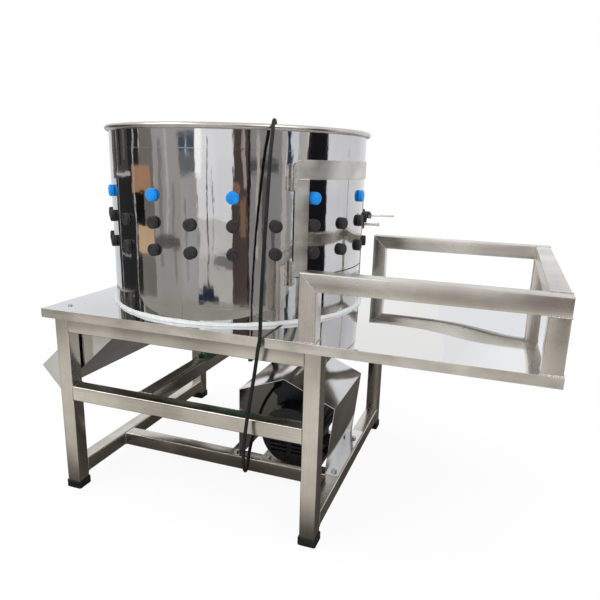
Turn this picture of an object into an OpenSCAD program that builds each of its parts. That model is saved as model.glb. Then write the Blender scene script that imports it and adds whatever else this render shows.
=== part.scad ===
// Drum poultry plucker on a welded square tube frame. Units are millimetres, Z is up.
// X runs along the front from the chute end to the tray end, and Y runs to the back.
// Lengths are first laid out from the outer corner of the front left leg, then moved so that
// the origin lies on the floor under the middle of the whole machine.

/* [Frame] */
// Outer width of the square tube
tube = 38; // [34:1:42]
// Wall of the square tube
tube_wall = 1.5; // [1:0.25:3]
// Length of the frame over its legs
frame_l = 690; // [680:5:760]
// Depth of the frame over its legs
frame_d = 690; // [680:5:760]
// Height of the frame's top above the floor
deck_z = 470; // [460:2:520]
// Height of the mid rails' underside
mid_rail_z = 252; // [240:2:262]
// Height of the bottom rails' underside
low_rail_z = 33; // [28:1:50]
// Gap between the front left leg and the mid cross member
cross_gap = 170; // [164:2:176]
// Gap between the left legs' outer faces and the upper cross rail on the chute's side
upper_cross_x = 200; // [196:1:204]
// Place of the upper cross rail that carries the gearbox, from the left
hanger_rail_x = 412; // [408:1:416]
// Distance of the front low beam from the frame's front
low_beam_front_y = 200; // [190:2:210]
// Distance of the rear low beam from the frame's front
low_beam_rear_y = 400; // [390:2:410]

/* [Feet] */
// Height of the rubber foot caps
foot_h = 20; // [14:1:30]
// Thickness of the rubber under the leg
foot_floor = 4; // [3:0.5:8]
// Wall of the foot cap around the leg
foot_wall = 3; // [2:0.5:5]

/* [Table and tray] */
// Thickness of the table and tray sheets
sheet = 1.5; // [1:0.25:2.5]
// Height of the sheets' turned down lip
lip_h = 22; // [18:1:30]
// How far the table reaches beyond the legs
overhang = 20; // [12:1:28]
// Width of the flange that is turned in under the lip
return_w = 36; // [30:1:44]
// Length of the table sheet
table_l = 583; // [570:1:600]
// Gap between the table sheet and the tray sheet
seam_gap = 7; // [4:1:12]
// Length of the tray sheet
tray_l = 578; // [540:2:640]
// Length of the feather outlet in the table
outlet_l = 250; // [200:5:260]
// Width of the feather outlet in the table
outlet_w = 115; // [90:5:120]
// Distance of the feather outlet from the left legs' outer faces
outlet_x = 72; // [68:1:80]
// Radius of the shaft hole in the table
shaft_hole_r = 36; // [30:1:44]

/* [Railing] */
// Height of the railing's top above the tray
railing_h = 146; // [120:2:180]
// Distance of the railing's left posts from the left legs' outer faces
railing_x = 642; // [636:1:660]
// How far the railing stands in from the sheet's edges
railing_inset = 4; // [2:1:8]

/* [Drum] */
// Outer radius of the drum
drum_r = 328; // [322:1:334]
// Wall of the drum
drum_wall = 1.5; // [1:0.25:2.5]
// Height of the drum above the table
drum_h = 434; // [400:2:480]
// Place of the drum's axis from the left legs' outer faces
drum_x = 345; // [340:1:350]
// Place of the drum's axis from the front legs' outer faces
drum_y = 338; // [334:1:344]
// Radius of the rolled rim
rim_r = 6.5; // [4:0.5:9]
// Height of the stiffening ring inside the drum's foot
base_ring_h = 12; // [8:1:18]
// Width of the stiffening ring inside the drum's foot
base_ring_w = 22.5; // [16:0.5:26]
// Width of the sealant bead around the drum's foot
bead_w = 9; // [6:0.5:12]
// Height of the sealant bead
bead_h = 9; // [6:0.5:12]

/* [Rubber fingers] */
// Number of finger columns around the drum
columns = 22; // [22:2:22]
// Turn of the finger columns about the drum's axis
column_turn = -67.5; // [-68:0.25:-67]
// Height of the lower finger row above the table
row_low = 161; // [161:1:166]
// Height of the upper finger row above the table
row_mid = 222; // [219:1:226]
// Height of the top finger row above the table
row_top = 282; // [276:1:290]
// Radius of the finger heads
head_r = 14; // [12:0.5:15]
// Height of the finger heads
head_h = 11; // [8:0.5:14]
// Radius of the fingers' neck in the hole
neck_r = 9.8; // [9:0.1:11]
// Length of a finger from the wall
finger_l = 95; // [80:1:105]
// Radius of a finger at its tip
finger_tip_r = 7; // [5:0.5:9]
// Number of ribs along a finger
ribs = 5; // [4:1:6]

/* [Plucking plate] */
// Gap between the turning plate's edge and the drum's wall
plate_gap = 12.5; // [8.5:0.5:18]
// Thickness of the turning plate
plate_t = 4; // [3:0.5:6]
// Height of the plate's underside above the table
plate_z = 32; // [28:1:40]
// Fingers in the outer ring of the plate
ring_outer_n = 18; // [14:1:20]
// Fingers in the middle ring of the plate
ring_middle_n = 13; // [9:1:15]
// Fingers in the inner ring of the plate
ring_inner_n = 8; // [5:1:9]
// Distance of the outer ring of fingers from the plate's edge
ring_inset = 30; // [24:1:36]
// Distance between the rings of fingers
ring_step = 76; // [68:1:80]

/* [Door] */
// Angle of the door opening's hinge side
door_from = -44.2; // [-45:0.1:-43.4]
// Angle of the door opening's free side
door_to = 22.5; // [22:0.1:23]
// Height of the door opening's foot above the table
door_z = 106; // [100:1:112]
// Height of the door opening
door_h = 250; // [240:1:262]
// Gap around the door panel
door_gap = 2.5; // [1.5:0.25:4]
// Width of the door's straps
strap_w = 42; // [36:1:46]
// Width of the door's strap beside the hinges
stile_w = 36; // [30:1:37]
// Thickness of the door's straps
strap_t = 2; // [1.5:0.25:3]
// How far the straps lap over the drum around the opening
strap_lap = 8; // [5:1:12]
// Radius of the hinge barrels
barrel_r = 5; // [4.5:0.25:6]
// Radius of the hinge pins
hinge_pin_r = 2.5; // [2:0.25:3]
// Height of one hinge
hinge_h = 54; // [40:1:60]
// Width of one hinge leaf
leaf_w = 12; // [11:1:18]

/* [Latch] */
// Angle of the latch on the door
latch_turn = 19.4; // [19.3:0.1:19.5]
// Height of the latch bolt above the table
latch_z = 225; // [220:1:232]
// Radius of the latch bolt
bolt_r = 4; // [3:0.25:4.5]
// Travel of the latch bolt
bolt_travel = 14; // [8:1:14]
// Length of the bolt's handle rod
handle_l = 68; // [50:1:80]
// Radius of the bolt's handle rod
handle_r = 2.5; // [2:0.25:3]
// Length of the door's pull pin
pull_l = 38; // [26:1:46]
// Radius of the door's pull pin
pull_r = 3.5; // [2.5:0.25:4]

/* [Chute] */
// Slope of the chute's floor
chute_slope = 42.5; // [41:0.5:44]
// Height of the chute's side walls
chute_wall_h = 79; // [66:1:84]
// Gap between the left legs and the chute's sides
chute_gap = 6; // [3:0.5:10]
// How far the floor's lower edge stands out beyond the left legs
chute_out = 41; // [30:1:50]
// Height of the floor's lower edge above the floor
chute_z = 256; // [250:1:264]

/* [Gearbox] */
// Height of the gearbox's input shaft
input_z = 384; // [382:1:386]
// Half width of the gearbox's casting
gearbox_half = 80; // [76:1:82]
// Wall of the gearbox's casting
gearbox_wall = 8; // [6:0.5:10]
// Length of the gearbox's foot along the mid cross member
foot_web_l = 72; // [60:1:90]
// Tooth module of the bevel gears
gear_module = 3; // [2.5:0.25:3]
// Teeth of the bevel pinion
pinion_teeth = 16; // [16:1:16]
// Teeth of the bevel gear
gear_teeth = 32; // [32:1:32]
// Radius of the output shaft
output_r = 17.5; // [15:0.5:20]
// Radius of the input shaft
input_r = 12.5; // [10:0.5:14]
// Radius of the driven pulley
driven_r = 75; // [70:1:77]
// Radius of the motor pulley
drive_r = 40; // [36:1:44]
// Distance of the belts' plane from the frame's front
belt_y = 498; // [494:1:504]

/* [Motor] */
// Distance of the motor's axis from the right legs' outer faces
motor_in = 142; // [136:1:148]
// Height of the motor's axis above its feet
motor_h = 80; // [80:1:84]
// Radius of the motor's casing
motor_r = 70; // [66:1:72]
// Radius of the fan cover
fan_cover_r = 78.5; // [75:0.5:79]
// Distance of the fan cover's face from the frame's front
motor_y = 207; // [203:1:212]
// Length of the motor without its shaft
motor_l = 252; // [244:1:258]
// Radius of the motor's shaft
motor_shaft_r = 9.5; // [8:0.5:12]
// Thickness of the motor's base plate
base_t = 4; // [3:0.5:5]

/* [Motor cover] */
// Sheet of the motor's cover
cover_t = 1.5; // [1:0.25:2]
// Distance of the cover's left wall from the right legs' outer faces
cover_in = 284; // [280:1:290]
// Length of the cover
cover_l = 275; // [262:1:280]
// Height of the left eave above the low rails
eave_left = 197; // [190:1:204]
// Height of the ridge above the low rails
ridge_h = 244; // [236:1:252]
// Height of the right eave above the low rails
eave_right = 186; // [180:1:194]
// How far the right wall leans out at its top
cover_lean = 19; // [10:1:22]

/* [Power cord] */
// Diameter of the cord
cord_d = 8; // [7:0.5:9]

/* [Clearances] */
// Running clearance of a shaft or pin in its bore
run_gap = 0.05; // [0.03:0.01:0.08]
// Gap between pieces that only lie against each other
seat_gap = 0.3; // [0.2:0.05:0.5]
// Gap between a finger's neck and its hole
neck_gap = 0.2; // [0.1:0.05:0.4]

/* [Hidden] */
$fn = 64;
eps = 0.01;
steel = [0.75, 0.74, 0.72];
mirror_steel = [0.82, 0.83, 0.84];
black_rubber = [0.09, 0.09, 0.1];
blue_rubber = [0.03, 0.42, 0.9];
cast_green = [0.13, 0.42, 0.25];
motor_black = [0.08, 0.09, 0.11];

// Derived heights and places
table_z = deck_z + lip_h;
low_top = low_rail_z + tube;
mid_top = mid_rail_z + tube;
cross_x = tube + cross_gap;
tray_x = table_l - overhang + seam_gap;
right_end = tray_x + tray_l;
railing_end = right_end - railing_inset + 2;
railing_z = table_z + railing_h;
front_edge = -overhang;
back_edge = frame_d + overhang;
railing_y0 = front_edge + railing_inset;
railing_y1 = back_edge - railing_inset;
slope_dir = [cos(chute_slope), sin(chute_slope)];
chute_low = [-chute_out, chute_z];
chute_y0 = tube + chute_gap;
chute_y1 = frame_d - tube - chute_gap;
chute_left = -chute_out - chute_wall_h * sin(chute_slope);
left_end = min(chute_left, front_edge);
origin_x = (left_end + right_end) / 2;
origin_y = (front_edge + back_edge) / 2;
column_step = 360 / columns;
plate_r = drum_r - drum_wall - plate_gap;
ring_outer_r = plate_r - ring_inset;
ring_middle_r = ring_outer_r - ring_step;
ring_inner_r = ring_middle_r - ring_step;

// Door and latch
door_low = table_z + door_z;
door_top = door_low + door_h;
hinge_off = 6.5;
hinge_axis_r = drum_r + hinge_off;
hinge_turn = door_from - 1;
hinge_side_gap = 5;
panel_from = door_from + (hinge_side_gap - door_gap) / drum_r * 180 / PI;
panel_to = door_to - door_gap / drum_r * 180 / PI;
strap_r = drum_r + seat_gap;
upper_hinge_z = door_top - hinge_h - 3;
lower_hinge_z = door_low - 16;
pin_head_r = barrel_r - 0.5;
pin_head_h = 1.5;
latch_bolt_off = 16;
latch_plate_t = 3;
latch_plate_r = strap_r + strap_t + seat_gap;
ear_t = 4;
keeper_t = 7;
latch_half = 14;
latch_high = table_z + latch_z;
pull_z = latch_high - 24;

// Plate, shafts and gears
plate_low = table_z + plate_z;
plate_top = plate_low + plate_t;
gear_r = gear_module * gear_teeth / 2;
pinion_r = gear_module * pinion_teeth / 2;
gear_cone = atan(gear_r / pinion_r);
gear_face = 7;
pinion_face = gear_face * gear_r / pinion_r;
addendum = 0.7 * gear_module;
dedendum = 1.15 * gear_module;
gear_plane = input_z - pinion_r;
gear_hub_h = 8;
body_z0 = input_z - 38;
gearbox_z0 = gear_plane - gear_hub_h - 18;
gearbox_z1 = input_z + 36;
gearbox_lid_t = 8;
lid_top = gearbox_z1 + gearbox_lid_t;
bearing_r = input_r + 14;
out_bearing_r = output_r + 16;
bearing_t = 14;
hub_r = 58;
hub_t = 8;
belt_pitch = 15;
belt_w = 12;
belt_h = 8;
pulley_w = 2 * belt_pitch + 4;

// Motor
motor_x = frame_l - motor_in;
cover_x = frame_l - cover_in;
plate_high = low_top + base_t;
motor_z = plate_high + motor_h;
fan_room = 52;
fan_cover_t = 1.5;
fan_lap = 5.5;
bell_t = 26;
motor_end = motor_y + motor_l;
fin_h = 7;
foot_span = 125;
foot_half = 17;
stand_t = 16;
stand_in = foot_span / 2 - foot_half - 1.5;
base_half = foot_span / 2 + foot_half + 2.5;
foot_y0 = motor_y + 98;
foot_l = 96;
box_w = 78;
box_x = motor_x - 70;
box_y = motor_y + 58;
box_l = 110;
box_z = motor_z + motor_r + 6;
box_h = 57;
box_wall = 3;
box_lid = 4;
box_floor = 18;
box_room = box_h - box_floor - box_lid;
capacitor_l = 84;
gland_x = box_x + 14;
gland_z = box_z + 40;
gland_r = 8;
gland_l = 22;
cover_right_low = frame_l - tube - 1;
cover_flange = 34;
bolt_shank_r = 4;
bolt_hole_r = 4.3;
bolt_head_h = 5.5;
bolt_head_r = 7.5;

// Power cord: round points along its middle, from the gland over the rim to the plug.
// They are measured like everything else, from the outer corner of the front left leg.
// The first points follow the gland and the last ones follow the drum's rim.
cord_points = [
    [492, 247, 271], [492, 230, 271], [492, 208, 267], [491, 180, 258], [491, 155, 245],
    [493, 125, 226], [496, 95, 206], [501, 65, 188], [508, 38, 172], [516, 14, 163],
    [522, -8, 165], [525, -22, 178], [526, -28, 200], [526, -27, 235], [529, -22, 280],
    [537, -20, 340], [549, -22, 410], [559, -27, 470], [563, -27, 495], [561, -18, 560],
    [558, 0, 660], [555, 22, 760], [552, 44, 860], [551, 57, 905], [550, 62, 922],
    [549, 69, 932], [547, 79, 932], [544, 88, 921], [542, 91, 900], [534, 92, 860],
    [525, 91, 820], [517, 90, 780], [512, 89, 740], [510, 89, 700]];
plug_l = 34;
plug_r = 14;

module placed() translate([-origin_x, -origin_y, 0]) children();
module at_drum() placed() translate([drum_x, drum_y, 0]) children();
// Local frame on the drum's wall: X points outwards, Y runs round the drum, Z is up
module on_wall(turn, z) at_drum() rotate([0, 0, turn]) translate([0, 0, z]) children();
module box_at(p, s) translate(p) cube(s);

// Square tubes with an open bore, along one axis
module tube_x(p, l) difference() {
    box_at(p, [l, tube, tube]);
    box_at(p + [-1, tube_wall, tube_wall], [l + 2, tube - 2 * tube_wall, tube - 2 * tube_wall]);
}
module tube_y(p, l) difference() {
    box_at(p, [tube, l, tube]);
    box_at(p + [tube_wall, -1, tube_wall], [tube - 2 * tube_wall, l + 2, tube - 2 * tube_wall]);
}
module tube_z(p, l) difference() {
    box_at(p, [tube, tube, l]);
    box_at(p + [tube_wall, tube_wall, -1], [tube - 2 * tube_wall, tube - 2 * tube_wall, l + 2]);
}
leg_xy = [[0, 0], [frame_l - tube, 0], [0, frame_d - tube], [frame_l - tube, frame_d - tube]];
span_x = frame_l - 2 * tube;
span_y = frame_d - 2 * tube;

module legs() color(steel) placed()
    for (p = leg_xy) tube_z([p[0], p[1], foot_floor], deck_z - foot_floor);

module foot_caps() color(black_rubber) placed()
    for (p = leg_xy) translate([p[0], p[1], 0]) difference() {
        box_at([-foot_wall, -foot_wall, 0], [tube + 2 * foot_wall, tube + 2 * foot_wall, foot_h]);
        box_at([0, 0, foot_floor], [tube, tube, foot_h]);
    }

module upper_rails() color(steel) placed() {
    tube_x([tube, 0, deck_z - tube], span_x);
    tube_x([tube, frame_d - tube, deck_z - tube], span_x);
    tube_y([0, tube, deck_z - tube], span_y);
    tube_y([frame_l - tube, tube, deck_z - tube], span_y);
}

module upper_cross_rails() color(steel) placed() {
    tube_y([upper_cross_x, tube, deck_z - tube], span_y);
    tube_y([hanger_rail_x, tube, deck_z - tube], span_y);
}

module mid_rails() color(steel) placed() {
    tube_x([tube, 0, mid_rail_z], span_x);
    tube_x([tube, frame_d - tube, mid_rail_z], span_x);
}

module mid_cross_member() color(steel) placed() difference() {
    tube_y([cross_x, tube, mid_rail_z], span_y);
    for (y = lug_bolt_y) translate([lug_bolt_x, y, mid_rail_z]) cylinder(r = bolt_hole_r, h = 2 * tube);
}

module low_side_rails() color(steel) placed() difference() {
    union() {
        tube_y([0, tube, low_rail_z], span_y);
        tube_y([frame_l - tube, tube, low_rail_z], span_y);
    }
    for (y = flange_bolt_y) translate([right_flange_x, y, low_rail_z + 2 * tube_wall])
        cylinder(r = bolt_hole_r, h = tube);
}

module low_beams() color(steel) placed() difference() {
    union() {
        tube_x([tube, low_beam_front_y, low_rail_z], span_x);
        tube_x([tube, low_beam_rear_y, low_rail_z], span_x);
    }
    for (x = base_bolt_x, y = beam_mid_y) translate([x, y, low_rail_z + 2 * tube_wall])
        cylinder(r = bolt_hole_r, h = tube);
    for (y = beam_mid_y) translate([left_flange_x, y, low_rail_z + 2 * tube_wall])
        cylinder(r = bolt_hole_r, h = tube);
}

// A pan of folded sheet: flat top, lips turned down, and a flange turned in below
module pan(x0, x1) difference() {
    box_at([x0, front_edge, deck_z], [x1 - x0, back_edge - front_edge, lip_h]);
    box_at([x0 + sheet, front_edge + sheet, deck_z + sheet],
        [x1 - x0 - 2 * sheet, back_edge - front_edge - 2 * sheet, lip_h - 2 * sheet]);
    box_at([x0 + return_w, front_edge + return_w, deck_z - 1],
        [x1 - x0 - 2 * return_w, back_edge - front_edge - 2 * return_w, sheet + 2]);
}
outlet_y = drum_y - outlet_l / 2;
screw_xy = [[25, 30], [25, frame_d - 30]];
screw_r = 2.5;

module table_sheet() color(mirror_steel) placed() difference() {
    pan(-overhang, table_l - overhang);
    box_at([outlet_x, outlet_y, deck_z - 1], [outlet_w, outlet_l, lip_h + 2]);
    translate([drum_x, drum_y, deck_z]) cylinder(r = shaft_hole_r, h = lip_h + 1);
    for (p = screw_xy) translate([p[0], p[1], deck_z + 2 * sheet])
        cylinder(r = screw_r + neck_gap, h = lip_h);
}

module tray_sheet() color(mirror_steel) placed() pan(tray_x, right_end);

module deck_screws() color(steel) placed() for (p = screw_xy) translate([p[0], p[1], table_z]) {
    cylinder(r = 2.2 * screw_r, h = screw_r);
    translate([0, 0, -12]) cylinder(r = screw_r, h = 12 + eps);
}

// Railing: left posts and bars meet in a 45 degree mitre seen from the front
module mitre_cut(x, y, z) translate([x, y - 1, z]) rotate([-90, 0, 0])
    linear_extrude(tube + 2) polygon([[0, 0], [2 * tube, 2 * tube], [2 * tube, -2 * tube], [0, -2 * tube]]);
module mitre_keep(x, y, z) translate([x, y - 1, z]) rotate([-90, 0, 0])
    linear_extrude(tube + 2) polygon([[0, 0], [2 * tube, 2 * tube], [-2 * tube, 2 * tube], [-2 * tube, 0]]);
railing_ys = [railing_y0, railing_y1 - tube];
post_h = railing_h - tube;

module railing_posts() color(steel) placed() {
    for (y = railing_ys) {
        difference() {
            tube_z([railing_x, y, table_z], railing_h);
            mitre_cut(railing_x, y, railing_z);
        }
        tube_z([railing_end - tube, y, table_z], post_h);
    }
}
module left_mitred_bar(y, l) difference() {
    tube_x([railing_x, y, railing_z - tube], l);
    mitre_keep(railing_x, y, railing_z);
}
module railing_bar_front() color(steel) placed()
    left_mitred_bar(railing_y0, railing_end - railing_x);
module railing_bar_rear() color(steel) placed()
    left_mitred_bar(railing_y1 - tube, railing_end - railing_x);
module railing_bar_right() color(steel) placed()
    tube_y([railing_end - tube, railing_y0 + tube, railing_z - tube], railing_y1 - railing_y0 - 2 * tube);

// Chute: a sloped trough of sheet that takes the feathers out on the left
chute_run = (deck_z - chute_low[1]) / slope_dir[1];
chute_turn = [0, -chute_slope, 0];
module chute() color(mirror_steel) placed() difference() {
    translate([chute_low[0], 0, chute_low[1]]) rotate(chute_turn) difference() {
        box_at([0, chute_y0, 0], [chute_run + chute_wall_h, chute_y1 - chute_y0, chute_wall_h]);
        box_at([-1, chute_y0 + sheet, sheet],
            [chute_run + chute_wall_h + 2, chute_y1 - chute_y0 - 2 * sheet, chute_wall_h]);
    }
    box_at([-overhang, 0, deck_z - tube - seat_gap], [overhang + tube + seat_gap, frame_d, 2 * tube]);
    box_at([-overhang, 0, deck_z - seat_gap], [frame_l, frame_d, 4 * tube]);
    box_at([upper_cross_x - seat_gap, 0, deck_z - 2 * tube], [frame_l, frame_d, 4 * tube]);
}

// Curved sheet on the drum's wall between two angles
module wall_arc(r0, r1, z0, z1, from, to) at_drum() rotate([0, 0, from])
    rotate_extrude(angle = to - from) translate([r0, z0]) square([r1 - r0, z1 - z0]);

function column_angle(k) = column_turn + k * column_step;
function in_door(a) = a > door_from && a < door_to;
all_columns = [for (k = [0 : columns - 1]) k];
function fold(a) = a > 180 ? a - 360 : a;
drum_columns = [for (k = all_columns) if (!in_door(fold(column_angle(k)))) k];
door_columns = [for (k = all_columns) if (in_door(fold(column_angle(k)))) k];
black_drum = [for (k = drum_columns, z = [row_low, row_mid]) [column_angle(k), table_z + z]];
blue_drum = [for (k = drum_columns) if (k % 2 == 0) [column_angle(k), table_z + row_top]];
black_door = [for (k = door_columns, z = [row_low, row_mid]) [column_angle(k), table_z + z]];
blue_door = [for (k = door_columns) if (k % 2 == 0) [column_angle(k), table_z + row_top]];
module finger_holes(places) for (p = places) on_wall(p[0], p[1]) translate([drum_r - 15, 0, 0])
    rotate([0, 90, 0]) cylinder(r = neck_r + neck_gap, h = 30);

module drum_shell() color(mirror_steel) difference() {
    at_drum() translate([0, 0, table_z]) difference() {
        cylinder(r = drum_r, h = drum_h - rim_r);
        translate([0, 0, -1]) cylinder(r = drum_r - drum_wall, h = drum_h + 2);
    }
    wall_arc(drum_r - 10, drum_r + 10, door_low, door_top, door_from, door_to);
    finger_holes(black_drum);
    finger_holes(blue_drum);
}

module drum_rim() color(mirror_steel) at_drum() translate([0, 0, table_z + drum_h - rim_r])
    rotate_extrude() difference() {
        translate([drum_r + rim_r / 2, 0]) circle(r = rim_r);
        translate([drum_r - drum_wall - 1, -2 * rim_r]) square([drum_wall + 1, 2 * rim_r]);
    }

module drum_base_ring() color(steel) at_drum() translate([0, 0, table_z]) difference() {
    cylinder(r = drum_r - drum_wall, h = base_ring_h);
    translate([0, 0, 3]) cylinder(r = drum_r - drum_wall - 3, h = base_ring_h);
    translate([0, 0, -1]) cylinder(r = drum_r - drum_wall - base_ring_w, h = base_ring_h);
}

module sealant_bead() color("white") at_drum() translate([0, 0, table_z]) rotate_extrude()
    translate([drum_r, 0]) polygon([[0, 0], [bead_w, 0], [0.85 * bead_w, 0.45 * bead_h],
        [0.5 * bead_w, 0.85 * bead_h], [0, bead_h]]);

// Rubber finger along +Z: head below, neck through a sheet of the given wall, ribbed shank above
rib_pitch = (finger_l - 22) / ribs;
function shank_r(s) = neck_r + 1 + (finger_tip_r - neck_r - 1) * s / finger_l;
module finger(wall) rotate_extrude() polygon(concat(
    [[0, -head_h], [head_r - 1, -head_h], [head_r, -head_h + 1],
     [head_r - 1.2, -0.5 * head_h], [head_r, -seat_gap],
     [neck_r, -seat_gap], [neck_r, wall + 2 * seat_gap], [head_r - 1, wall + 2 * seat_gap],
     [head_r - 1, wall + 5], [shank_r(wall + 5) - 1, wall + 8]],
    [for (i = [0 : ribs - 1], s = [[0.25, 0.8], [0.85, -1.2]])
        [shank_r(12 + (i + s[0]) * rib_pitch) + s[1], 12 + (i + s[0]) * rib_pitch]],
    [[finger_tip_r, finger_l - 6], [finger_tip_r - 3, finger_l], [0, finger_l]]));
module wall_fingers(places) for (p = places) on_wall(p[0], p[1]) translate([drum_r, 0, 0])
    rotate([0, -90, 0]) finger(drum_wall);

module wall_fingers_black() color(black_rubber) wall_fingers(black_drum);
module wall_fingers_blue() color(blue_rubber) wall_fingers(blue_drum);
module door_fingers_black() color(black_rubber) wall_fingers(black_door);
module door_fingers_blue() color(blue_rubber) wall_fingers(blue_door);

// Door with its straps, hinges and latch
module door_panel() color(mirror_steel) difference() {
    wall_arc(drum_r - drum_wall, drum_r, door_low + door_gap, door_top - door_gap, panel_from, panel_to);
    finger_holes(black_door);
    finger_holes(blue_door);
}
strap_deg = 180 / PI / strap_r;
stile_to = panel_from + stile_w * strap_deg;
free_from = latch_turn - (latch_half + 0.2) * strap_deg;
free_to = door_to + strap_lap * strap_deg;
module door_straps() color(steel) union() {
    wall_arc(strap_r, strap_r + strap_t, door_top - strap_w + strap_lap, door_top + strap_lap,
        panel_from, free_to);
    wall_arc(strap_r, strap_r + strap_t, door_low + door_gap, door_top, panel_from, stile_to);
    wall_arc(strap_r, strap_r + strap_t, latch_high - 36, latch_high + 18, free_from, door_to - 0.6);
}
hinge_lows = [lower_hinge_z, upper_hinge_z];
module knuckle(z0, z1) difference() {
    translate([hinge_axis_r, 0, z0]) cylinder(r = barrel_r, h = z1 - z0);
    translate([hinge_axis_r, 0, z0 - 1]) cylinder(r = hinge_pin_r + run_gap, h = z1 - z0 + 2);
}
// Pins turn in a bore cut right through leaf and knuckle
leaf_clear = barrel_r + 2 * seat_gap;
module hinge_leaf(r, side, z0, z1, leaf_z) difference() {
    union() {
        translate([hinge_axis_r, 0, z0]) cylinder(r = barrel_r, h = z1 - z0);
        box_at([r, side > 0 ? 1 : -leaf_w, z0], [strap_t, leaf_w - 1, z1 - z0]);
        box_at([r, side > 0 ? leaf_clear : -leaf_w, leaf_z], [strap_t, leaf_w - leaf_clear, hinge_h]);
    }
    translate([hinge_axis_r, 0, z0 - 1]) cylinder(r = hinge_pin_r + run_gap, h = z1 - z0 + 2);
}
module hinge_leaves_drum() color(steel) for (z = hinge_lows) on_wall(hinge_turn, 0)
    hinge_leaf(drum_r + seat_gap, -1, z, z + hinge_h / 2 - seat_gap, z);
module hinge_leaves_door() color(steel) for (z = hinge_lows) on_wall(hinge_turn, 0)
    hinge_leaf(strap_r + strap_t + seat_gap, 1, z + hinge_h / 2, z + hinge_h, z);
module hinge_pins() color(steel) for (z = hinge_lows) on_wall(hinge_turn, 0)
    translate([hinge_axis_r, 0, z]) {
        translate([0, 0, -pin_head_h]) cylinder(r = hinge_pin_r, h = hinge_h + 2 * pin_head_h + seat_gap);
        translate([0, 0, -pin_head_h]) cylinder(r = pin_head_r, h = pin_head_h);
        translate([0, 0, hinge_h + seat_gap]) cylinder(r = pin_head_r, h = pin_head_h);
    }

bolt_at = drum_r + latch_bolt_off;
ear_from = [-latch_half, latch_half - ear_t];
handle_y = ear_t - latch_half + handle_r + 0.5;
bolt_front = latch_half - 1;
bolt_back = -32;
keeper_turn = asin((latch_half + 9.5) / drum_r);
module latch_base() color(black_rubber) on_wall(latch_turn, latch_high) difference() {
    union() {
        box_at([latch_plate_r, -latch_half, -34], [latch_plate_t, 2 * latch_half, 50]);
        for (y = ear_from) box_at([latch_plate_r, y, -bolt_r - 3],
            [bolt_at + bolt_r + 3 - latch_plate_r, ear_t, 2 * bolt_r + 6]);
    }
    translate([bolt_at, -60, 0]) rotate([-90, 0, 0]) cylinder(r = bolt_r + run_gap, h = 120);
}
// The bolt is drawn back at rest. It slides along Y of this frame into the keeper
module latch_bolt() color(steel) on_wall(latch_turn, latch_high) {
    translate([bolt_at, bolt_back, 0]) rotate([-90, 0, 0]) cylinder(r = bolt_r, h = bolt_front - bolt_back);
    translate([bolt_at, handle_y, 0]) rotate([0, 90, 0]) cylinder(r = handle_r, h = handle_l);
}
module latch_keeper() color(steel) on_wall(latch_turn, latch_high) difference() {
    rotate([0, 0, keeper_turn]) translate([drum_r, -keeper_t / 2, -bolt_r - 5])
        cube([latch_bolt_off + bolt_r + 5, keeper_t, 2 * bolt_r + 10]);
    translate([bolt_at, 0, 0]) rotate([-90, 0, 0]) cylinder(r = bolt_r + seat_gap, h = 90);
}
module door_pull() color(steel) on_wall(latch_turn, pull_z)
    translate([latch_plate_r + latch_plate_t, 0, 0]) rotate([0, 90, 0]) {
        cylinder(r = pull_r, h = pull_l);
        translate([0, 0, pull_l - eps]) cylinder(r = 1.7 * pull_r, h = 0.6 * pull_r);
        translate([0, 0, pull_l + 0.6 * pull_r - 2 * eps]) cylinder(r = 0.8 * pull_r, h = 0.6 * pull_r);
    }

// Turning plate with its fingers, hub and sweepers
rings = [[ring_outer_n, ring_outer_r, 0], [ring_middle_n, ring_middle_r, 7], [ring_inner_n, ring_inner_r, 3]];
module each_plate_finger() for (r = rings, i = [0 : r[0] - 1]) at_drum()
    rotate([0, 0, r[2] + i * 360 / r[0]]) translate([r[1], 0, 0]) children();
hub_bolt_n = 4;
hub_bolt_r = 40;
module plucking_plate() color(mirror_steel) difference() {
    at_drum() translate([0, 0, plate_low]) cylinder(r = plate_r, h = plate_t);
    each_plate_finger() translate([0, 0, plate_low - 1]) cylinder(r = neck_r + neck_gap, h = plate_t + 2);
    hub_holes(plate_low - 1);
}
module hub_holes(z) for (i = [0 : hub_bolt_n - 1]) at_drum() rotate([0, 0, 45 + i * 360 / hub_bolt_n])
    translate([hub_bolt_r, 0, z]) cylinder(r = bolt_hole_r, h = 2 * (plate_t + hub_t));
module plate_fingers() color(black_rubber) each_plate_finger() translate([0, 0, plate_low]) finger(plate_t);
module plate_hub() color(steel) difference() {
    at_drum() union() {
        translate([0, 0, plate_low - hub_t]) cylinder(r = hub_r, h = hub_t);
        translate([0, 0, plate_low - 26]) cylinder(r = output_r + 9, h = 26);
        for (i = [0 : hub_bolt_n - 1]) rotate([0, 0, 45 + i * 360 / hub_bolt_n])
            translate([hub_bolt_r, 0, plate_top + seat_gap]) {
                hex_bolt(plate_t + 2 * seat_gap);
            }
    }
    at_drum() translate([0, 0, plate_low - 60]) cylinder(r = output_r, h = 60);
}
sweeper_gap = 4;
sweeper_from = 70;
module feather_sweepers() color(steel) for (a = [0, 180]) at_drum() rotate([0, 0, a + 100])
    difference() {
        translate([sweeper_from, -2, table_z + sweeper_gap])
            cube([plate_r - sweeper_from - 14, 4, plate_z - sweeper_gap]);
        translate([ring_outer_r, 0, plate_low - head_h - 1]) cylinder(r = head_r + 1, h = head_h + 2);
        translate([ring_middle_r, 0, plate_low - head_h - 1]) cylinder(r = head_r + 1, h = head_h + 2);
        translate([ring_inner_r, 0, plate_low - head_h - 1]) cylinder(r = head_r + 1, h = head_h + 2);
    }
bearing_low = gearbox_z0 + 6;
shaft_low = bearing_low + 2;
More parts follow.
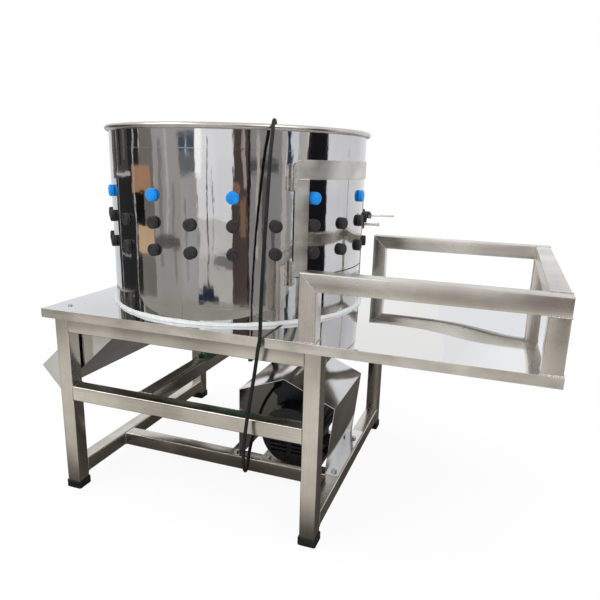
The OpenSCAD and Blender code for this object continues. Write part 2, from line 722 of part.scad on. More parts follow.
module output_shaft() color(steel) at_drum() {
    translate([0, 0, shaft_low]) cylinder(r = output_r, h = plate_low - shaft_low);
    translate([0, 0, gear_plane + gear_face]) cylinder(r = output_r + 5, h = 4);
}

// Bevel teeth: a flat toothed outline that shrinks towards the point where the shafts cross
function tooth(a, r, w) = [r * cos(a) - w * sin(a), r * sin(a) + w * cos(a)];
module toothed(n, r_tip, r_root, w_tip, w_root) polygon([for (i = [0 : n - 1], s = [0 : 3])
    let (a = i * 360 / n, w = s == 0 ? -w_root : s == 1 ? -w_tip : s == 2 ? w_tip : w_root,
        r = s == 0 || s == 3 ? r_root : r_tip) tooth(a, r, w)]);
tip_half = 0.4 * gear_module;
root_half = 1.05 * gear_module;
module bevel_gear() color(steel) at_drum() difference() {
    union() {
        translate([0, 0, gear_plane]) linear_extrude(gear_face, scale = (pinion_r - gear_face) / pinion_r)
            toothed(gear_teeth, gear_r + addendum / cos(gear_cone), gear_r - dedendum / cos(gear_cone),
                tip_half, root_half);
        translate([0, 0, gear_plane - gear_hub_h]) cylinder(r = output_r + 12, h = gear_hub_h + eps);
    }
    translate([0, 0, gear_plane - gear_hub_h - 1]) cylinder(r = output_r, h = 2 * gear_hub_h + gear_face);
}
module at_input() placed() translate([drum_x, drum_y, input_z]) rotate([-90, 0, 0]) children();
module bevel_pinion() color(steel) at_input() difference() {
    union() {
        translate([0, 0, gear_r]) mirror([0, 0, 1])
            linear_extrude(pinion_face, scale = (gear_r - pinion_face) / gear_r)
            rotate([0, 0, 180 / pinion_teeth])
            toothed(pinion_teeth, pinion_r + addendum / sin(gear_cone), pinion_r - dedendum / sin(gear_cone),
                tip_half, root_half);
        translate([0, 0, gear_r - eps]) cylinder(r = input_r + 5, h = 5);
    }
    translate([0, 0, gear_r - pinion_face - 1]) cylinder(r = input_r, h = pinion_face + 10);
}
input_from = gear_r - pinion_face;
input_end = belt_y - drum_y + pulley_w / 2;
module input_shaft() color(steel) at_input() translate([0, 0, input_from])
    cylinder(r = input_r, h = input_end - input_from);

// V pulley with two grooves, along Z and centred on the origin
module pulley(r, bore) difference() {
    translate([0, 0, -pulley_w / 2]) cylinder(r = r, h = pulley_w);
    for (s = [-1, 1]) translate([0, 0, s * belt_pitch / 2]) rotate_extrude()
        polygon([[r + 1, -belt_w / 2 - 0.7], [r + 1, belt_w / 2 + 0.7], [r - belt_h - 3, belt_w / 2 - 3],
            [r - belt_h - 3, -belt_w / 2 + 3]]);
    translate([0, 0, -pulley_w]) cylinder(r = bore, h = 2 * pulley_w);
}
module driven_pulley() color(steel) at_input() translate([0, 0, belt_y - drum_y]) difference() {
    pulley(driven_r, input_r);
    for (i = [0 : 4]) rotate([0, 0, i * 72]) translate([0.55 * driven_r, 0, -pulley_w])
        cylinder(r = 0.17 * driven_r, h = 2 * pulley_w);
}
module at_motor() placed() translate([motor_x, 0, motor_z]) rotate([-90, 0, 0]) children();
module drive_pulley() color(steel) at_motor() translate([0, 0, belt_y]) pulley(drive_r, motor_shaft_r);

// Belts: open loops round both pulleys, with a wedge shaped section swept through stations.
// A station is the pulley's distance along the belt, its radius and an angle round it
belt_vector = [motor_x - drum_x, motor_z - input_z];
belt_span = norm(belt_vector);
belt_turn = atan2(belt_vector[1], belt_vector[0]);
belt_in = belt_h - 1;
wrap = asin((driven_r - drive_r) / belt_span);
arc_big = 24;
arc_small = 16;
stations = concat(
    [for (k = [0 : arc_big]) [0, driven_r, 90 - wrap + k * (180 + 2 * wrap) / arc_big]],
    [for (k = [0 : arc_small]) [belt_span, drive_r, wrap - 90 + k * (180 - 2 * wrap) / arc_small]]);
station_n = len(stations);
belt_section = [[2.6 - belt_w / 2, -belt_in], [belt_w / 2 - 2.6, -belt_in], [belt_w / 2, 1],
    [-belt_w / 2, 1]];
module belt() polyhedron(
    points = [for (s = stations, c = belt_section)
        [s[0] + (s[1] + c[1]) * cos(s[2]), (s[1] + c[1]) * sin(s[2]), c[0]]],
    faces = [for (i = [0 : station_n - 1], k = [0 : 3]) [i * 4 + k, (i + 1) % station_n * 4 + k,
        (i + 1) % station_n * 4 + (k + 1) % 4, i * 4 + (k + 1) % 4]]);
module drive_belts() color(black_rubber) placed()
    for (s = [-1, 1]) translate([drum_x, belt_y + s * belt_pitch / 2, input_z])
        rotate([90, 0, 0]) rotate([0, 0, belt_turn]) belt();

// Gearbox casting, hung between the mid cross member and a hanger plate
lug_bolt_x = cross_x + tube / 2;
lug_bolt_y = [drum_y + 4, drum_y + 26];
gearbox_left = drum_x - gearbox_half;
foot_x = cross_x + tube;
foot_web_t = 10;
foot_plate_t = 6;
foot_plate_l = 46;
spare_foot_x = gearbox_left + 119;
spare_foot_h = 38;
module foot_web(x, low) box_at([x, drum_y - 34, low], [foot_web_t, foot_web_l, body_z0 - low + eps]);
module gearbox_housing() color(cast_green) placed() difference() {
    union() {
        box_at([gearbox_left, drum_y - gearbox_half, body_z0],
            [2 * gearbox_half, 2 * gearbox_half, gearbox_z1 - body_z0]);
        translate([drum_x, drum_y, gearbox_z0])
            cylinder(r = out_bearing_r + 6, h = body_z0 - gearbox_z0 + eps);
        foot_web(foot_x, mid_top);
        foot_web(spare_foot_x, body_z0 - spare_foot_h);
        box_at([foot_x, drum_y - 34, body_z0], [gearbox_left - foot_x + eps, foot_web_l, 14]);
        box_at([cross_x + 4, drum_y - 8, mid_top], [tube - 4 + eps, foot_plate_l, foot_plate_t]);
        translate([drum_x, drum_y + gearbox_half - eps, input_z]) rotate([-90, 0, 0])
            cylinder(r = bearing_r + 8, h = 6);
    }
    box_at([gearbox_left + gearbox_wall, drum_y - gearbox_half + gearbox_wall, body_z0 + gearbox_wall],
        [2 * (gearbox_half - gearbox_wall), 2 * (gearbox_half - gearbox_wall), gearbox_z1 - body_z0]);
    translate([drum_x, drum_y, input_z]) rotate([-90, 0, 0])
        cylinder(r = bearing_r, h = gearbox_half + bearing_t);
    translate([drum_x, drum_y, bearing_low]) cylinder(r = out_bearing_r, h = 20);
    for (y = lug_bolt_y) translate([lug_bolt_x, y, mid_top - 1]) cylinder(r = bolt_hole_r, h = 20);
    for (p = hanger_bolt_yz) translate([drum_x + gearbox_half - gearbox_wall - 1, p[0], p[1]])
        rotate([0, 90, 0]) cylinder(r = bolt_hole_r, h = 2 * gearbox_wall);
}
in_bearing_y = gearbox_half + 6 - bearing_t;
module gearbox_cover() color(cast_green) placed() difference() {
    union() {
        box_at([gearbox_left, drum_y - gearbox_half, gearbox_z1],
            [2 * gearbox_half, 2 * gearbox_half, gearbox_lid_t]);
        translate([drum_x, drum_y, gearbox_z1 - 8]) cylinder(r = out_bearing_r + 6, h = 9);
        translate([drum_x, drum_y, lid_top - eps]) cylinder(r = out_bearing_r, h = 8);
    }
    translate([drum_x, drum_y, gearbox_z1 - 20]) cylinder(r = output_r + run_gap, h = 60);
    translate([drum_x, drum_y, gearbox_z1 - 9]) cylinder(r = out_bearing_r, h = bearing_t + 1);
}
module ring(r_out, r_in, h) difference() {
    cylinder(r = r_out, h = h);
    translate([0, 0, -1]) cylinder(r = r_in, h = h + 2);
}
module gearbox_bearings() color(steel) {
    at_drum() translate([0, 0, bearing_low]) ring(out_bearing_r, output_r + run_gap, bearing_t - 3);
    at_drum() translate([0, 0, gearbox_z1 - 8 - eps]) ring(out_bearing_r, output_r + run_gap, bearing_t - 1);
    at_input() translate([0, 0, in_bearing_y]) ring(bearing_r, input_r + run_gap, bearing_t);
}
hanger_t = 6;
hanger_x = drum_x + gearbox_half;
hanger_bolt_yz = [for (y = [-48, 48], z = [body_z0 + 18, gearbox_z1 - 18]) [drum_y + y, z]];
module gearbox_hanger() color(steel) placed() difference() {
    box_at([hanger_x, drum_y - 62, body_z0 + 6], [hanger_t, 124, deck_z - tube - body_z0 - 6]);
    for (p = hanger_bolt_yz) translate([hanger_x - 1, p[0], p[1]]) rotate([0, 90, 0])
        cylinder(r = bolt_hole_r, h = hanger_t + 2);
}

// Hex bolt along -Z, head on top of the origin plane
module hex_bolt(l) {
    cylinder(r = bolt_head_r, h = bolt_head_h, $fn = 6);
    translate([0, 0, -l]) cylinder(r = bolt_shank_r, h = l + eps);
}
flange_bolt_y = [low_beam_front_y + tube / 2, low_beam_rear_y + tube / 2];
beam_mid_y = flange_bolt_y;
left_flange_x = cover_x - cover_flange / 2;
right_flange_x = cover_right_low + cover_flange / 2 + 2;
base_bolt_x = [motor_x - foot_span / 2, motor_x + foot_span / 2];
foot_bolt_y = [foot_y0 + 12, foot_y0 + foot_l - 12];
foot_t = 8;
module machine_bolts() color(steel) {
    placed() {
        for (x = [left_flange_x, right_flange_x], y = flange_bolt_y)
            translate([x, y, low_top + cover_t]) hex_bolt(18);
        for (x = base_bolt_x, y = beam_mid_y) translate([x, y, plate_high]) hex_bolt(18);
        for (x = base_bolt_x, y = foot_bolt_y) translate([x, y, plate_high + foot_t])
            hex_bolt(foot_t + base_t);
        for (y = lug_bolt_y) translate([lug_bolt_x, y, mid_top + foot_plate_t]) hex_bolt(18);
        for (p = hanger_bolt_yz) translate([hanger_x + hanger_t, p[0], p[1]]) rotate([0, 90, 0])
            hex_bolt(hanger_t + gearbox_wall - 1);
    }
}

// Motor
casing_from = motor_y + fan_room;
module motor_stator() color(motor_black) {
    difference() {
        union() {
            at_motor() translate([0, 0, casing_from])
                cylinder(r = motor_r - fin_h, h = motor_end - casing_from);
            at_motor() translate([0, 0, casing_from])
                cylinder(r = fan_cover_r - fan_cover_t - seat_gap, h = fan_lap);
            at_motor() translate([0, 0, motor_end - bell_t]) cylinder(r = motor_r - 2, h = bell_t - 6);
            at_motor() for (i = [0 : 23]) rotate([0, 0, i * 15]) translate([0, -1.2, casing_from + 6])
                cube([motor_r, 2.4, motor_end - casing_from - bell_t - 10]);
            placed() for (x = base_bolt_x)
                box_at([x - foot_half, foot_y0, plate_high], [2 * foot_half, foot_l, foot_t]);
            placed() for (s = [-1, 1])
                box_at([motor_x + s * stand_in - stand_t / 2, foot_y0, plate_high],
                    [stand_t, foot_l, motor_h - 34]);
            placed() box_at([box_x + 8, box_y + 8, motor_z], [box_w - 16, box_l - 20, box_z - motor_z]);
        }
        at_motor() translate([0, 0, casing_from - 1]) cylinder(r = motor_shaft_r + run_gap, h = motor_l);
        at_motor() translate([0, 0, casing_from + 12]) cylinder(r = rotor_r + 1, h = rotor_l + 4);
        placed() for (x = base_bolt_x, y = foot_bolt_y) translate([x, y, plate_high - 1])
            cylinder(r = bolt_hole_r, h = foot_t + 2);
    }
}
rotor_r = 36;
rotor_l = 130;
slot_rows = 9;
slot_l = 48;
slot_w = 4.5;
slot_pitch = 11.5;
slot_mid = 30;
module motor_fan_cover() color(motor_black) at_motor() translate([0, 0, motor_y]) difference() {
    cylinder(r = fan_cover_r, h = fan_room + fan_lap);
    translate([0, 0, 2]) cylinder(r = fan_cover_r - fan_cover_t, h = fan_room + fan_lap);
    for (side = [-1, 1], i = [0 : slot_rows - 1])
        translate([side * slot_mid - slot_l / 2, (i - (slot_rows - 1) / 2) * slot_pitch - slot_w / 2, -1])
            cube([slot_l, slot_w, 4]);
}
module motor_fan() color(motor_black) at_motor() translate([0, 0, motor_y + 14]) difference() {
    union() {
        cylinder(r = 20, h = 26);
        translate([0, 0, 22]) cylinder(r = fan_cover_r - 12, h = 3);
        for (i = [0 : 7]) rotate([0, 0, i * 45]) translate([10, -1, 0]) cube([fan_cover_r - 22, 2, 23]);
    }
    translate([0, 0, -1]) cylinder(r = motor_shaft_r, h = 40);
}
module motor_shaft() color(steel) at_motor() {
    translate([0, 0, motor_y + 12]) cylinder(r = motor_shaft_r, h = belt_y + pulley_w / 2 - motor_y - 12);
    translate([0, 0, casing_from + 14]) cylinder(r = rotor_r, h = rotor_l);
}
module motor_base_plate() color(steel) placed() difference() {
    box_at([motor_x - base_half, low_beam_front_y + 4, low_top],
        [2 * base_half, low_beam_rear_y + tube - low_beam_front_y - 4, base_t]);
    for (x = base_bolt_x, y = concat(beam_mid_y, foot_bolt_y)) translate([x, y, low_top - 1])
        cylinder(r = bolt_hole_r, h = base_t + 2);
}
module terminal_box() color([0.12, 0.14, 0.2]) placed() difference() {
    translate([0, box_y + box_l, 0]) rotate([90, 0, 0]) linear_extrude(box_l)
        polygon([[box_x, box_z + 16], [box_x + 18, box_z], [box_x + box_w, box_z],
            [box_x + box_w, box_z + box_h - 4], [box_x + box_w - 4, box_z + box_h],
            [box_x + 4, box_z + box_h], [box_x, box_z + box_h - 4]]);
    box_at([box_x + box_wall, box_y + box_wall, box_z + box_floor],
        [box_w - 2 * box_wall, box_l - 2 * box_wall, box_room]);
    translate([gland_x, box_y - 1, gland_z]) rotate([-90, 0, 0]) cylinder(r = gland_r - 2, h = 8);
}
module capacitor() color("gray") placed()
    translate([box_x + 48, box_y + 8, box_z + box_floor + box_room / 2])
        rotate([-90, 0, 0]) cylinder(r = box_room / 2 - seat_gap, h = capacitor_l);
module at_gland() placed() translate([gland_x, box_y, gland_z]) rotate([90, 0, 0]) children();
module cable_gland() color(black_rubber) at_gland() difference() {
    union() {
        cylinder(r = gland_r, h = 10, $fn = 6);
        translate([0, 0, 10 - eps]) cylinder(r = gland_r - 1.5, h = gland_l - 10 + eps);
        translate([0, 0, -5]) cylinder(r = gland_r - 2 - neck_gap, h = 6);
    }
    translate([0, 0, gland_l - 4]) cylinder(r = cord_d / 2 + neck_gap, h = 20);
}

// Cover over the motor: left wall, two roof slopes and a right wall, with flanges on the rails
ridge_x = (cover_x + cover_right_low + cover_lean) / 2 - 6;
cover_top_right = cover_right_low + cover_lean;
module motor_cover() color(mirror_steel) placed() difference() {
    translate([0, low_beam_front_y + cover_l, low_top]) rotate([90, 0, 0]) linear_extrude(cover_l)
        polygon([[cover_x - cover_flange, 0], [cover_x, 0], [cover_x + cover_t, 0],
            [cover_x + cover_t, eave_left - cover_t], [ridge_x, ridge_h - cover_t],
            [cover_top_right - cover_t, eave_right - cover_t], [cover_right_low - cover_t, 0],
            [cover_right_low + cover_flange, 0], [cover_right_low + cover_flange, cover_t],
            [cover_right_low, cover_t], [cover_top_right, eave_right], [ridge_x, ridge_h],
            [cover_x, eave_left], [cover_x, cover_t], [cover_x - cover_flange, cover_t]]);
    for (x = [left_flange_x, right_flange_x], y = flange_bolt_y) translate([x, y, low_top - 1])
        cylinder(r = bolt_hole_r, h = 4 * cover_t);
}

// Tube swept along the cord's points: a ring of corners at each, closed at both ends
function unit(v) = v / norm(v);
function spline(a, b, c, d, t) = 0.5 * (2 * b + (c - a) * t + (2 * a - 5 * b + 4 * c - d) * t * t
    + (3 * b - a - 3 * c + d) * t * t * t);
cord_n = len(cord_points);
gland_move = [gland_x, box_y - gland_l + 4, gland_z] - cord_points[0];
// The drum's middle, radius and top that the points were chosen for
cord_drum = [345, 338, 328, 926];
rim_out = drum_r - cord_drum[2];
rim_move = [drum_x - cord_drum[0] + rim_out * 0.6, drum_y - cord_drum[1] - rim_out * 0.8,
    table_z + drum_h - cord_drum[3]];
function share(i, n) = min(max(i / n, 0), 1);
cord_line = [for (i = [0 : cord_n - 1]) cord_points[i] + gland_move * (1 - share(i, 9))
    + rim_move * share(i - 14, 8)];
cord_path = [for (i = [0 : cord_n - 2], t = [0, 0.5]) spline(cord_line[max(i - 1, 0)], cord_line[i],
    cord_line[i + 1], cord_line[min(i + 2, cord_n - 1)], t), cord_line[cord_n - 1]];
path_n = len(cord_path);
cord_sides = 10;
function along(i) = unit(cord_path[min(i + 1, path_n - 1)] - cord_path[max(i - 1, 0)]);
side_dir = [1, 0, 0];
function ring_u(i) = unit(side_dir - along(i) * (side_dir * along(i)));
function ring_v(i) = cross(along(i), ring_u(i));
module power_cord() color(black_rubber) placed() polyhedron(
    points = [for (i = [0 : path_n - 1], k = [0 : cord_sides - 1]) cord_path[i]
        + cord_d / 2 * (ring_u(i) * cos(k * 360 / cord_sides) + ring_v(i) * sin(k * 360 / cord_sides))],
    faces = concat([[for (k = [0 : cord_sides - 1]) k]],
        [for (i = [0 : path_n - 2], k = [0 : cord_sides - 1]) [i * cord_sides + k,
            (i + 1) * cord_sides + k, (i + 1) * cord_sides + (k + 1) % cord_sides,
            i * cord_sides + (k + 1) % cord_sides]],
        [[for (k = [cord_sides - 1 : -1 : 0]) (path_n - 1) * cord_sides + k]]));
cord_end = cord_line[cord_n - 1];
module plug() color(black_rubber) placed() translate(cord_end) rotate([180, 0, 0]) {
    cylinder(r = cord_d / 2 + 1.5, h = 12);
    translate([0, 0, 10]) cylinder(r = plug_r, h = plug_l - 10);
    for (s = [-1, 1]) translate([s * 6.5, 0, plug_l - eps]) cylinder(r = 2.2, h = 16);
}

legs();
foot_caps();
upper_rails();
upper_cross_rails();
mid_rails();
mid_cross_member();
low_side_rails();
low_beams();
table_sheet();
tray_sheet();
deck_screws();
railing_posts();
railing_bar_front();
railing_bar_right();
railing_bar_rear();
chute();
drum_shell();
drum_rim();
drum_base_ring();
sealant_bead();
wall_fingers_black();
wall_fingers_blue();
hinge_leaves_drum();
hinge_pins();
latch_keeper();
door_panel();
door_straps();
hinge_leaves_door();
door_fingers_black();
door_fingers_blue();
latch_base();
door_pull();
latch_bolt();
plucking_plate();
plate_fingers();
plate_hub();
feather_sweepers();
output_shaft();
bevel_gear();
input_shaft();
bevel_pinion();
driven_pulley();
gearbox_housing();
gearbox_cover();
gearbox_bearings();
gearbox_hanger();
machine_bolts();
drive_belts();
motor_stator();
motor_fan_cover();
motor_fan();
motor_shaft();
drive_pulley();
motor_base_plate();
terminal_box();
capacitor();
cable_gland();
power_cord();
plug();
motor_cover();
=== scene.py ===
"""A drum poultry plucker on a welded square tube frame, dressed for the photograph."""
import math

import bmesh
import bpy
import numpy as np
from mathutils import Matrix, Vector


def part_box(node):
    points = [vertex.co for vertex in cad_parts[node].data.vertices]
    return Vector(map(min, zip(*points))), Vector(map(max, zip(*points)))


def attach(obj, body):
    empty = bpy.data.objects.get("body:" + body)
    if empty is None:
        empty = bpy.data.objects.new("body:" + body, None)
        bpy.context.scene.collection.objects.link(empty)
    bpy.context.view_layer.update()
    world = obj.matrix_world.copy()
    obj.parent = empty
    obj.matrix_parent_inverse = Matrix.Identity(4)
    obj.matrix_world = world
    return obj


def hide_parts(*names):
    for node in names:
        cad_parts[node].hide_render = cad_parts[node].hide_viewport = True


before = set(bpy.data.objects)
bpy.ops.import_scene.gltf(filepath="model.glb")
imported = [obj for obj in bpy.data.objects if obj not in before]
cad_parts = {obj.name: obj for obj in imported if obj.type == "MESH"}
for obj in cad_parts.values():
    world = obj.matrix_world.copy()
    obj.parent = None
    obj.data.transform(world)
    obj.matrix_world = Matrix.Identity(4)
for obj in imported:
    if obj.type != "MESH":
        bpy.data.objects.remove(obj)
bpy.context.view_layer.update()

# ---- The camera ----
# It stands in front of the machine's right half at a person's chest height and looks
# slightly down. Its place, turn and lens were fitted to the photograph.
mm = 0.001
legs_low, legs_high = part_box("legs")
left_front_corner = np.array([legs_low[0], legs_low[1], 0.0])


def spot(x, y, z):
    """The point x to the right, y to the back and z up from the front left leg's foot, in mm."""
    return left_front_corner + mm * np.array([x, y, z], float)


def put(name, data):
    """A new object with this data, linked into the scene."""
    made = bpy.data.objects.new(name, data)
    bpy.context.scene.collection.objects.link(made)
    return made


def box_of(node):
    """The low and the high corner of a CAD node's box."""
    return (np.array(corner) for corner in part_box(node))


def aimed(across, up, back, where):
    """The matrix whose columns are an object's own x, y and z directions and its place."""
    turned = np.eye(4)
    turned[:3, :] = np.column_stack([across, up, back, where])
    return Matrix(turned.tolist())


camera_spot = spot(1018.01, -1076.54, 850.08)
camera_yaw, camera_pitch, camera_roll = (math.radians(a) for a in (19.59, 14.78, 1.46))
focal_px, picture_px, middle_px, sensor_mm = 571.63, 600, (297.25, 313.27), 36
view_ahead = np.array([-math.sin(camera_yaw) * math.cos(camera_pitch),
                       math.cos(camera_yaw) * math.cos(camera_pitch), -math.sin(camera_pitch)])
view_level = np.array([math.cos(camera_yaw), math.sin(camera_yaw), 0.0])
view_up = np.cross(view_level, view_ahead)
view_right = math.cos(camera_roll) * view_level + math.sin(camera_roll) * view_up
view_top = math.cos(camera_roll) * view_up - math.sin(camera_roll) * view_level
camera = put("camera", bpy.data.cameras.new("camera"))
camera.data.sensor_width = sensor_mm
camera.data.lens = sensor_mm * focal_px / picture_px
camera.data.shift_x = (picture_px / 2 - middle_px[0]) / picture_px
camera.data.shift_y = (middle_px[1] - picture_px / 2) / picture_px
camera.matrix_world = aimed(view_right, view_top, -view_ahead, camera_spot)
bpy.context.scene.camera = camera
bpy.context.scene.view_settings.view_transform = "Standard"

# ---- The power cord ----
# A round black rubber lead. It leaves the motor's terminal box, hangs out over the low rails
# in a loop, is drawn up taut past the table's edge and over the drum's rim, and its plug
# hangs inside the drum.
cord_radius = 4 * mm
cord_points = np.array([spot(*p) for p in [
    (492, 247, 271), (492, 230, 271), (492, 208, 267), (491, 180, 258), (491, 155, 245),
    (493, 125, 226), (496, 95, 206), (501, 65, 188), (508, 38, 172), (516, 14, 163),
    (522, -8, 165), (525, -22, 178), (526, -28, 200), (526, -27, 235), (529, -22, 280),
    (537, -20, 340), (549, -22, 410), (559, -27, 470), (563, -27, 495), (561, -18, 560),
    (558, 0, 660), (555, 22, 760), (552, 44, 860), (551, 57, 905), (550, 62, 922),
    (549, 69, 932), (547, 79, 932), (544, 88, 921), (542, 91, 900), (534, 92, 860),
    (525, 91, 820), (517, 90, 780), (512, 89, 740), (510, 89, 700)]])


def turns(count):
    """So many angles, spread evenly over one full turn."""
    return np.linspace(0, 2 * math.pi, count, endpoint=False)


def grid_of(*parts):
    """Points from their coordinates, each spread over the rows and columns of the others."""
    return np.stack(np.broadcast_arrays(*parts), -1)


def run_of(line):
    """How far along a line each of its points lies: 0, then the sum of the steps so far."""
    return np.append(0, np.cumsum(np.linalg.norm(np.diff(line, axis=0), axis=1)))


def at_runs(line, far):
    """The points at these distances along a line, in proportion between its own points."""
    return np.stack([np.interp(far, run_of(line), line[:, k]) for k in range(3)], -1)


def through(points, steps):
    """A smooth line through points: each stretch is the cubic 0.5 (2b + (c - a) t
    + (2a - 5b + 4c - d) t^2 + (3b - a - 3c + d) t^3) of its two ends b, c and their neighbours."""
    padded = np.vstack([points[:1], points, points[-1:]])
    a, b, c, d = (padded[k:len(padded) - 3 + k, None] for k in range(4))
    t = (np.arange(steps) / steps)[None, :, None]
    line = 0.5 * (2 * b + (c - a) * t + (2 * a - 5 * b + 4 * c - d) * t ** 2
                  + (3 * b - a - 3 * c + d) * t ** 3)
    return np.vstack([line.reshape(-1, 3), points[-1:]])


def hose(line, radius, sides=16, side=(1, 0, 0)):
    """Circles of one radius, or of one for each place, set square to a line at its points.
    The circle's first direction is `side` with its part along the line taken out."""
    along = np.gradient(line, axis=0)
    along /= np.linalg.norm(along, axis=1, keepdims=True)
    first = np.array(side, float) - along * (along @ np.array(side, float))[:, None]
    first /= np.linalg.norm(first, axis=1, keepdims=True)
    second = np.cross(along, first)
    turn = turns(sides)[None, :, None]
    radius = np.broadcast_to(np.asarray(radius, float), (len(line),))[:, None, None]
    return line[:, None] + radius * (first[:, None] * np.cos(turn) + second[:, None] * np.sin(turn))


def skin(grid, ring=False, loop=False, lids=False, uv=None, heat=None):
    """Turns a grid of points, row by row, into faces: corner (i, j) is joined to (i, j + 1) and
    (i + 1, j). A ring joins a row's end to its start, a loop the last row to the first, and
    lids close the two end rows. Heat is 1 where welding has coloured the steel."""
    rows, places = grid.shape[:2]
    i, j = np.meshgrid(np.arange(rows if loop else rows - 1),
                       np.arange(places if ring else places - 1), indexing="ij")
    i, j = i.ravel(), j.ravel()
    corner_i = np.stack([i, i, i + 1, i + 1], -1)
    corner_j = np.stack([j, j + 1, j + 1, j], -1)
    faces = (corner_i % rows * places + corner_j % places).tolist()
    if uv is None:
        uv = np.zeros((rows + 1, places + 1, 2))
    corners = uv[np.minimum(corner_i, uv.shape[0] - 1),
                 np.minimum(corner_j, uv.shape[1] - 1)].reshape(-1, 2)
    if lids:
        faces += [list(range(places))[::-1], list(range((rows - 1) * places, rows * places))]
        ends = np.vstack([uv[0, :places][::-1], uv[min(rows, uv.shape[0]) - 1, :places]])
        corners = np.vstack([corners, ends])
    heat = np.zeros((rows, places)) if heat is None else np.broadcast_to(heat, (rows, places))
    return grid.reshape(-1, 3), faces, corners, heat.ravel()


def rod(grid, **more):
    """A skin of rings, closed by a lid at both ends."""
    return skin(grid, ring=True, lids=True, **more)


def piece(name, skins, finish_used, stands_for=(), body="frame", crease=40):
    """One object from several skins, with its UV map and heat attribute, riding on a body."""
    points, faces, corners, heats, count = [], [], [], [], 0
    for part_points, part_faces, part_corners, part_heat in skins:
        points.append(part_points)
        faces += [[count + k for k in face] for face in part_faces]
        corners.append(part_corners)
        heats.append(part_heat)
        count += len(part_points)
    mesh = bpy.data.meshes.new(name)
    mesh.from_pydata(np.vstack(points).tolist(), [], faces)
    uv_map = np.vstack(corners).ravel().astype(np.float32)
    mesh.uv_layers.new(name="run").data.foreach_set("uv", uv_map)
    mesh.attributes.new("heat", "FLOAT", "POINT").data.foreach_set("value", np.concatenate(heats))
    return mounted(name, mesh, finish_used, stands_for, body, crease)


def mounted(name, mesh, finish_used, stands_for=(), body="frame", crease=40):
    """Gives a mesh its finish and its object, shades it smooth between creases, and fixes it
    to its body."""
    mesh.materials.clear()
    mesh.materials.append(finish_used)
    mesh.polygons.foreach_set("use_smooth", [True] * len(mesh.polygons))
    mesh.set_sharp_from_angle(angle=math.radians(crease))
    made = put(name, mesh)
    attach(made, body)
    if stands_for:
        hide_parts(*stands_for)
    return made


def add_node(tree, kind, values=None, **settings):
    """Adds a shader node of one kind to a tree, with its inputs' values and its settings."""
    made = tree.nodes.new("ShaderNode" + kind)
    for key, value in (values or {}).items():
        made.inputs[key].default_value = value
    for key, value in settings.items():
        setattr(made, key, value)
    return made


def join(tree, *links):
    """Joins nodes of a tree, each link being (node, its output, next node, its input)."""
    for source, out, target, into in links:
        tree.links.new(source.outputs[out], target.inputs[into])


def finish(name, dark, pale, grain, rough, metal=0.0, bump=0.0, depth=0.2 * mm, source="Object",
           fine_part=0.5, broad=9.0, detail=4, tint=None, sheen=0.5):
    """A procedural finish. Two noises are added up, a fine one with `grain` repeats in a metre
    along all or each of the directions, times `fine_part`, and a broad one, times what is left.
    The sum mixes two colours, sets the roughness between two values, and raises the surface by
    up to `depth`. A tint is laid on where the piece's heat attribute is high."""
    made = bpy.data.materials.new(name)
    made.use_nodes = True
    tree = made.node_tree
    shader = tree.nodes["Principled BSDF"]
    shader.inputs["Metallic"].default_value = metal
    shader.inputs["Specular IOR Level"].default_value = sheen
    place = add_node(tree, "TexCoord")
    stretch = add_node(tree, "Mapping", {"Scale": np.broadcast_to(grain, 3).tolist()})
    fine = add_node(tree, "TexNoise", {"Scale": 1, "Detail": 5})
    cloud = add_node(tree, "TexNoise", {"Scale": broad, "Detail": detail})
    cloud_part = add_node(tree, "Math", {1: 1 - fine_part}, operation="MULTIPLY")
    both = add_node(tree, "Math", {1: fine_part}, operation="MULTIPLY_ADD")
    colours = add_node(tree, "ValToRGB")
    for stop, at, colour in zip(colours.color_ramp.elements, (0.36, 0.64), (dark, pale)):
        stop.position = at
        stop.color = (*colour, 1)
    matt = add_node(tree, "MapRange", {"From Min": 0.35, "From Max": 0.65,
                                       "To Min": rough[0], "To Max": rough[1]})
    join(tree, (place, source, stretch, "Vector"), (stretch, "Vector", fine, "Vector"),
         (place, source, cloud, "Vector"), (cloud, "Fac", cloud_part, 0), (fine, "Fac", both, 0),
         (cloud_part, 0, both, 2), (both, 0, colours, "Fac"), (both, 0, matt, "Value"),
         (matt, "Result", shader, "Roughness"))
    coloured = colours
    if tint is not None:
        welded = add_node(tree, "Attribute", attribute_name="heat")
        coloured = add_node(tree, "MixRGB", {"Color2": (*tint, 1)})
        join(tree, (welded, "Fac", coloured, "Fac"), (colours, "Color", coloured, "Color1"))
    join(tree, (coloured, "Color", shader, "Base Color"))
    if bump:
        raised = add_node(tree, "Bump", {"Strength": bump, "Distance": depth})
        join(tree, (both, 0, raised, "Height"), (raised, "Normal", shader, "Normal"))
    return made


cord_line = through(cord_points, 6)
cord_run = run_of(cord_line)
cord_girth = 25 * mm
cord_uv = grid_of(cord_run[:, None], np.linspace(0, cord_girth, 17)[None])
cord_rubber = finish("cord rubber", (0.006, 0.006, 0.006), (0.016, 0.015, 0.015),
                     (260, 40, 1), (0.35, 0.5), bump=0.25, depth=0.1 * mm, source="UV", broad=30, sheen=0.22)
power_cord = piece("power_cord_lead", [rod(hose(cord_line, cord_radius), uv=cord_uv)],
                   cord_rubber, ["power_cord"])

# The gland and its tapered, ringed boot hold the cord where it leaves the terminal box. The
# boot is soft black plastic, clamped by a six-sided nut.
gland_low, gland_high = box_of("cable_gland")
gland_middle = (gland_low + gland_high) / 2
gland_mouth = [gland_middle[0], gland_high[1] - 5 * mm, gland_middle[2]]


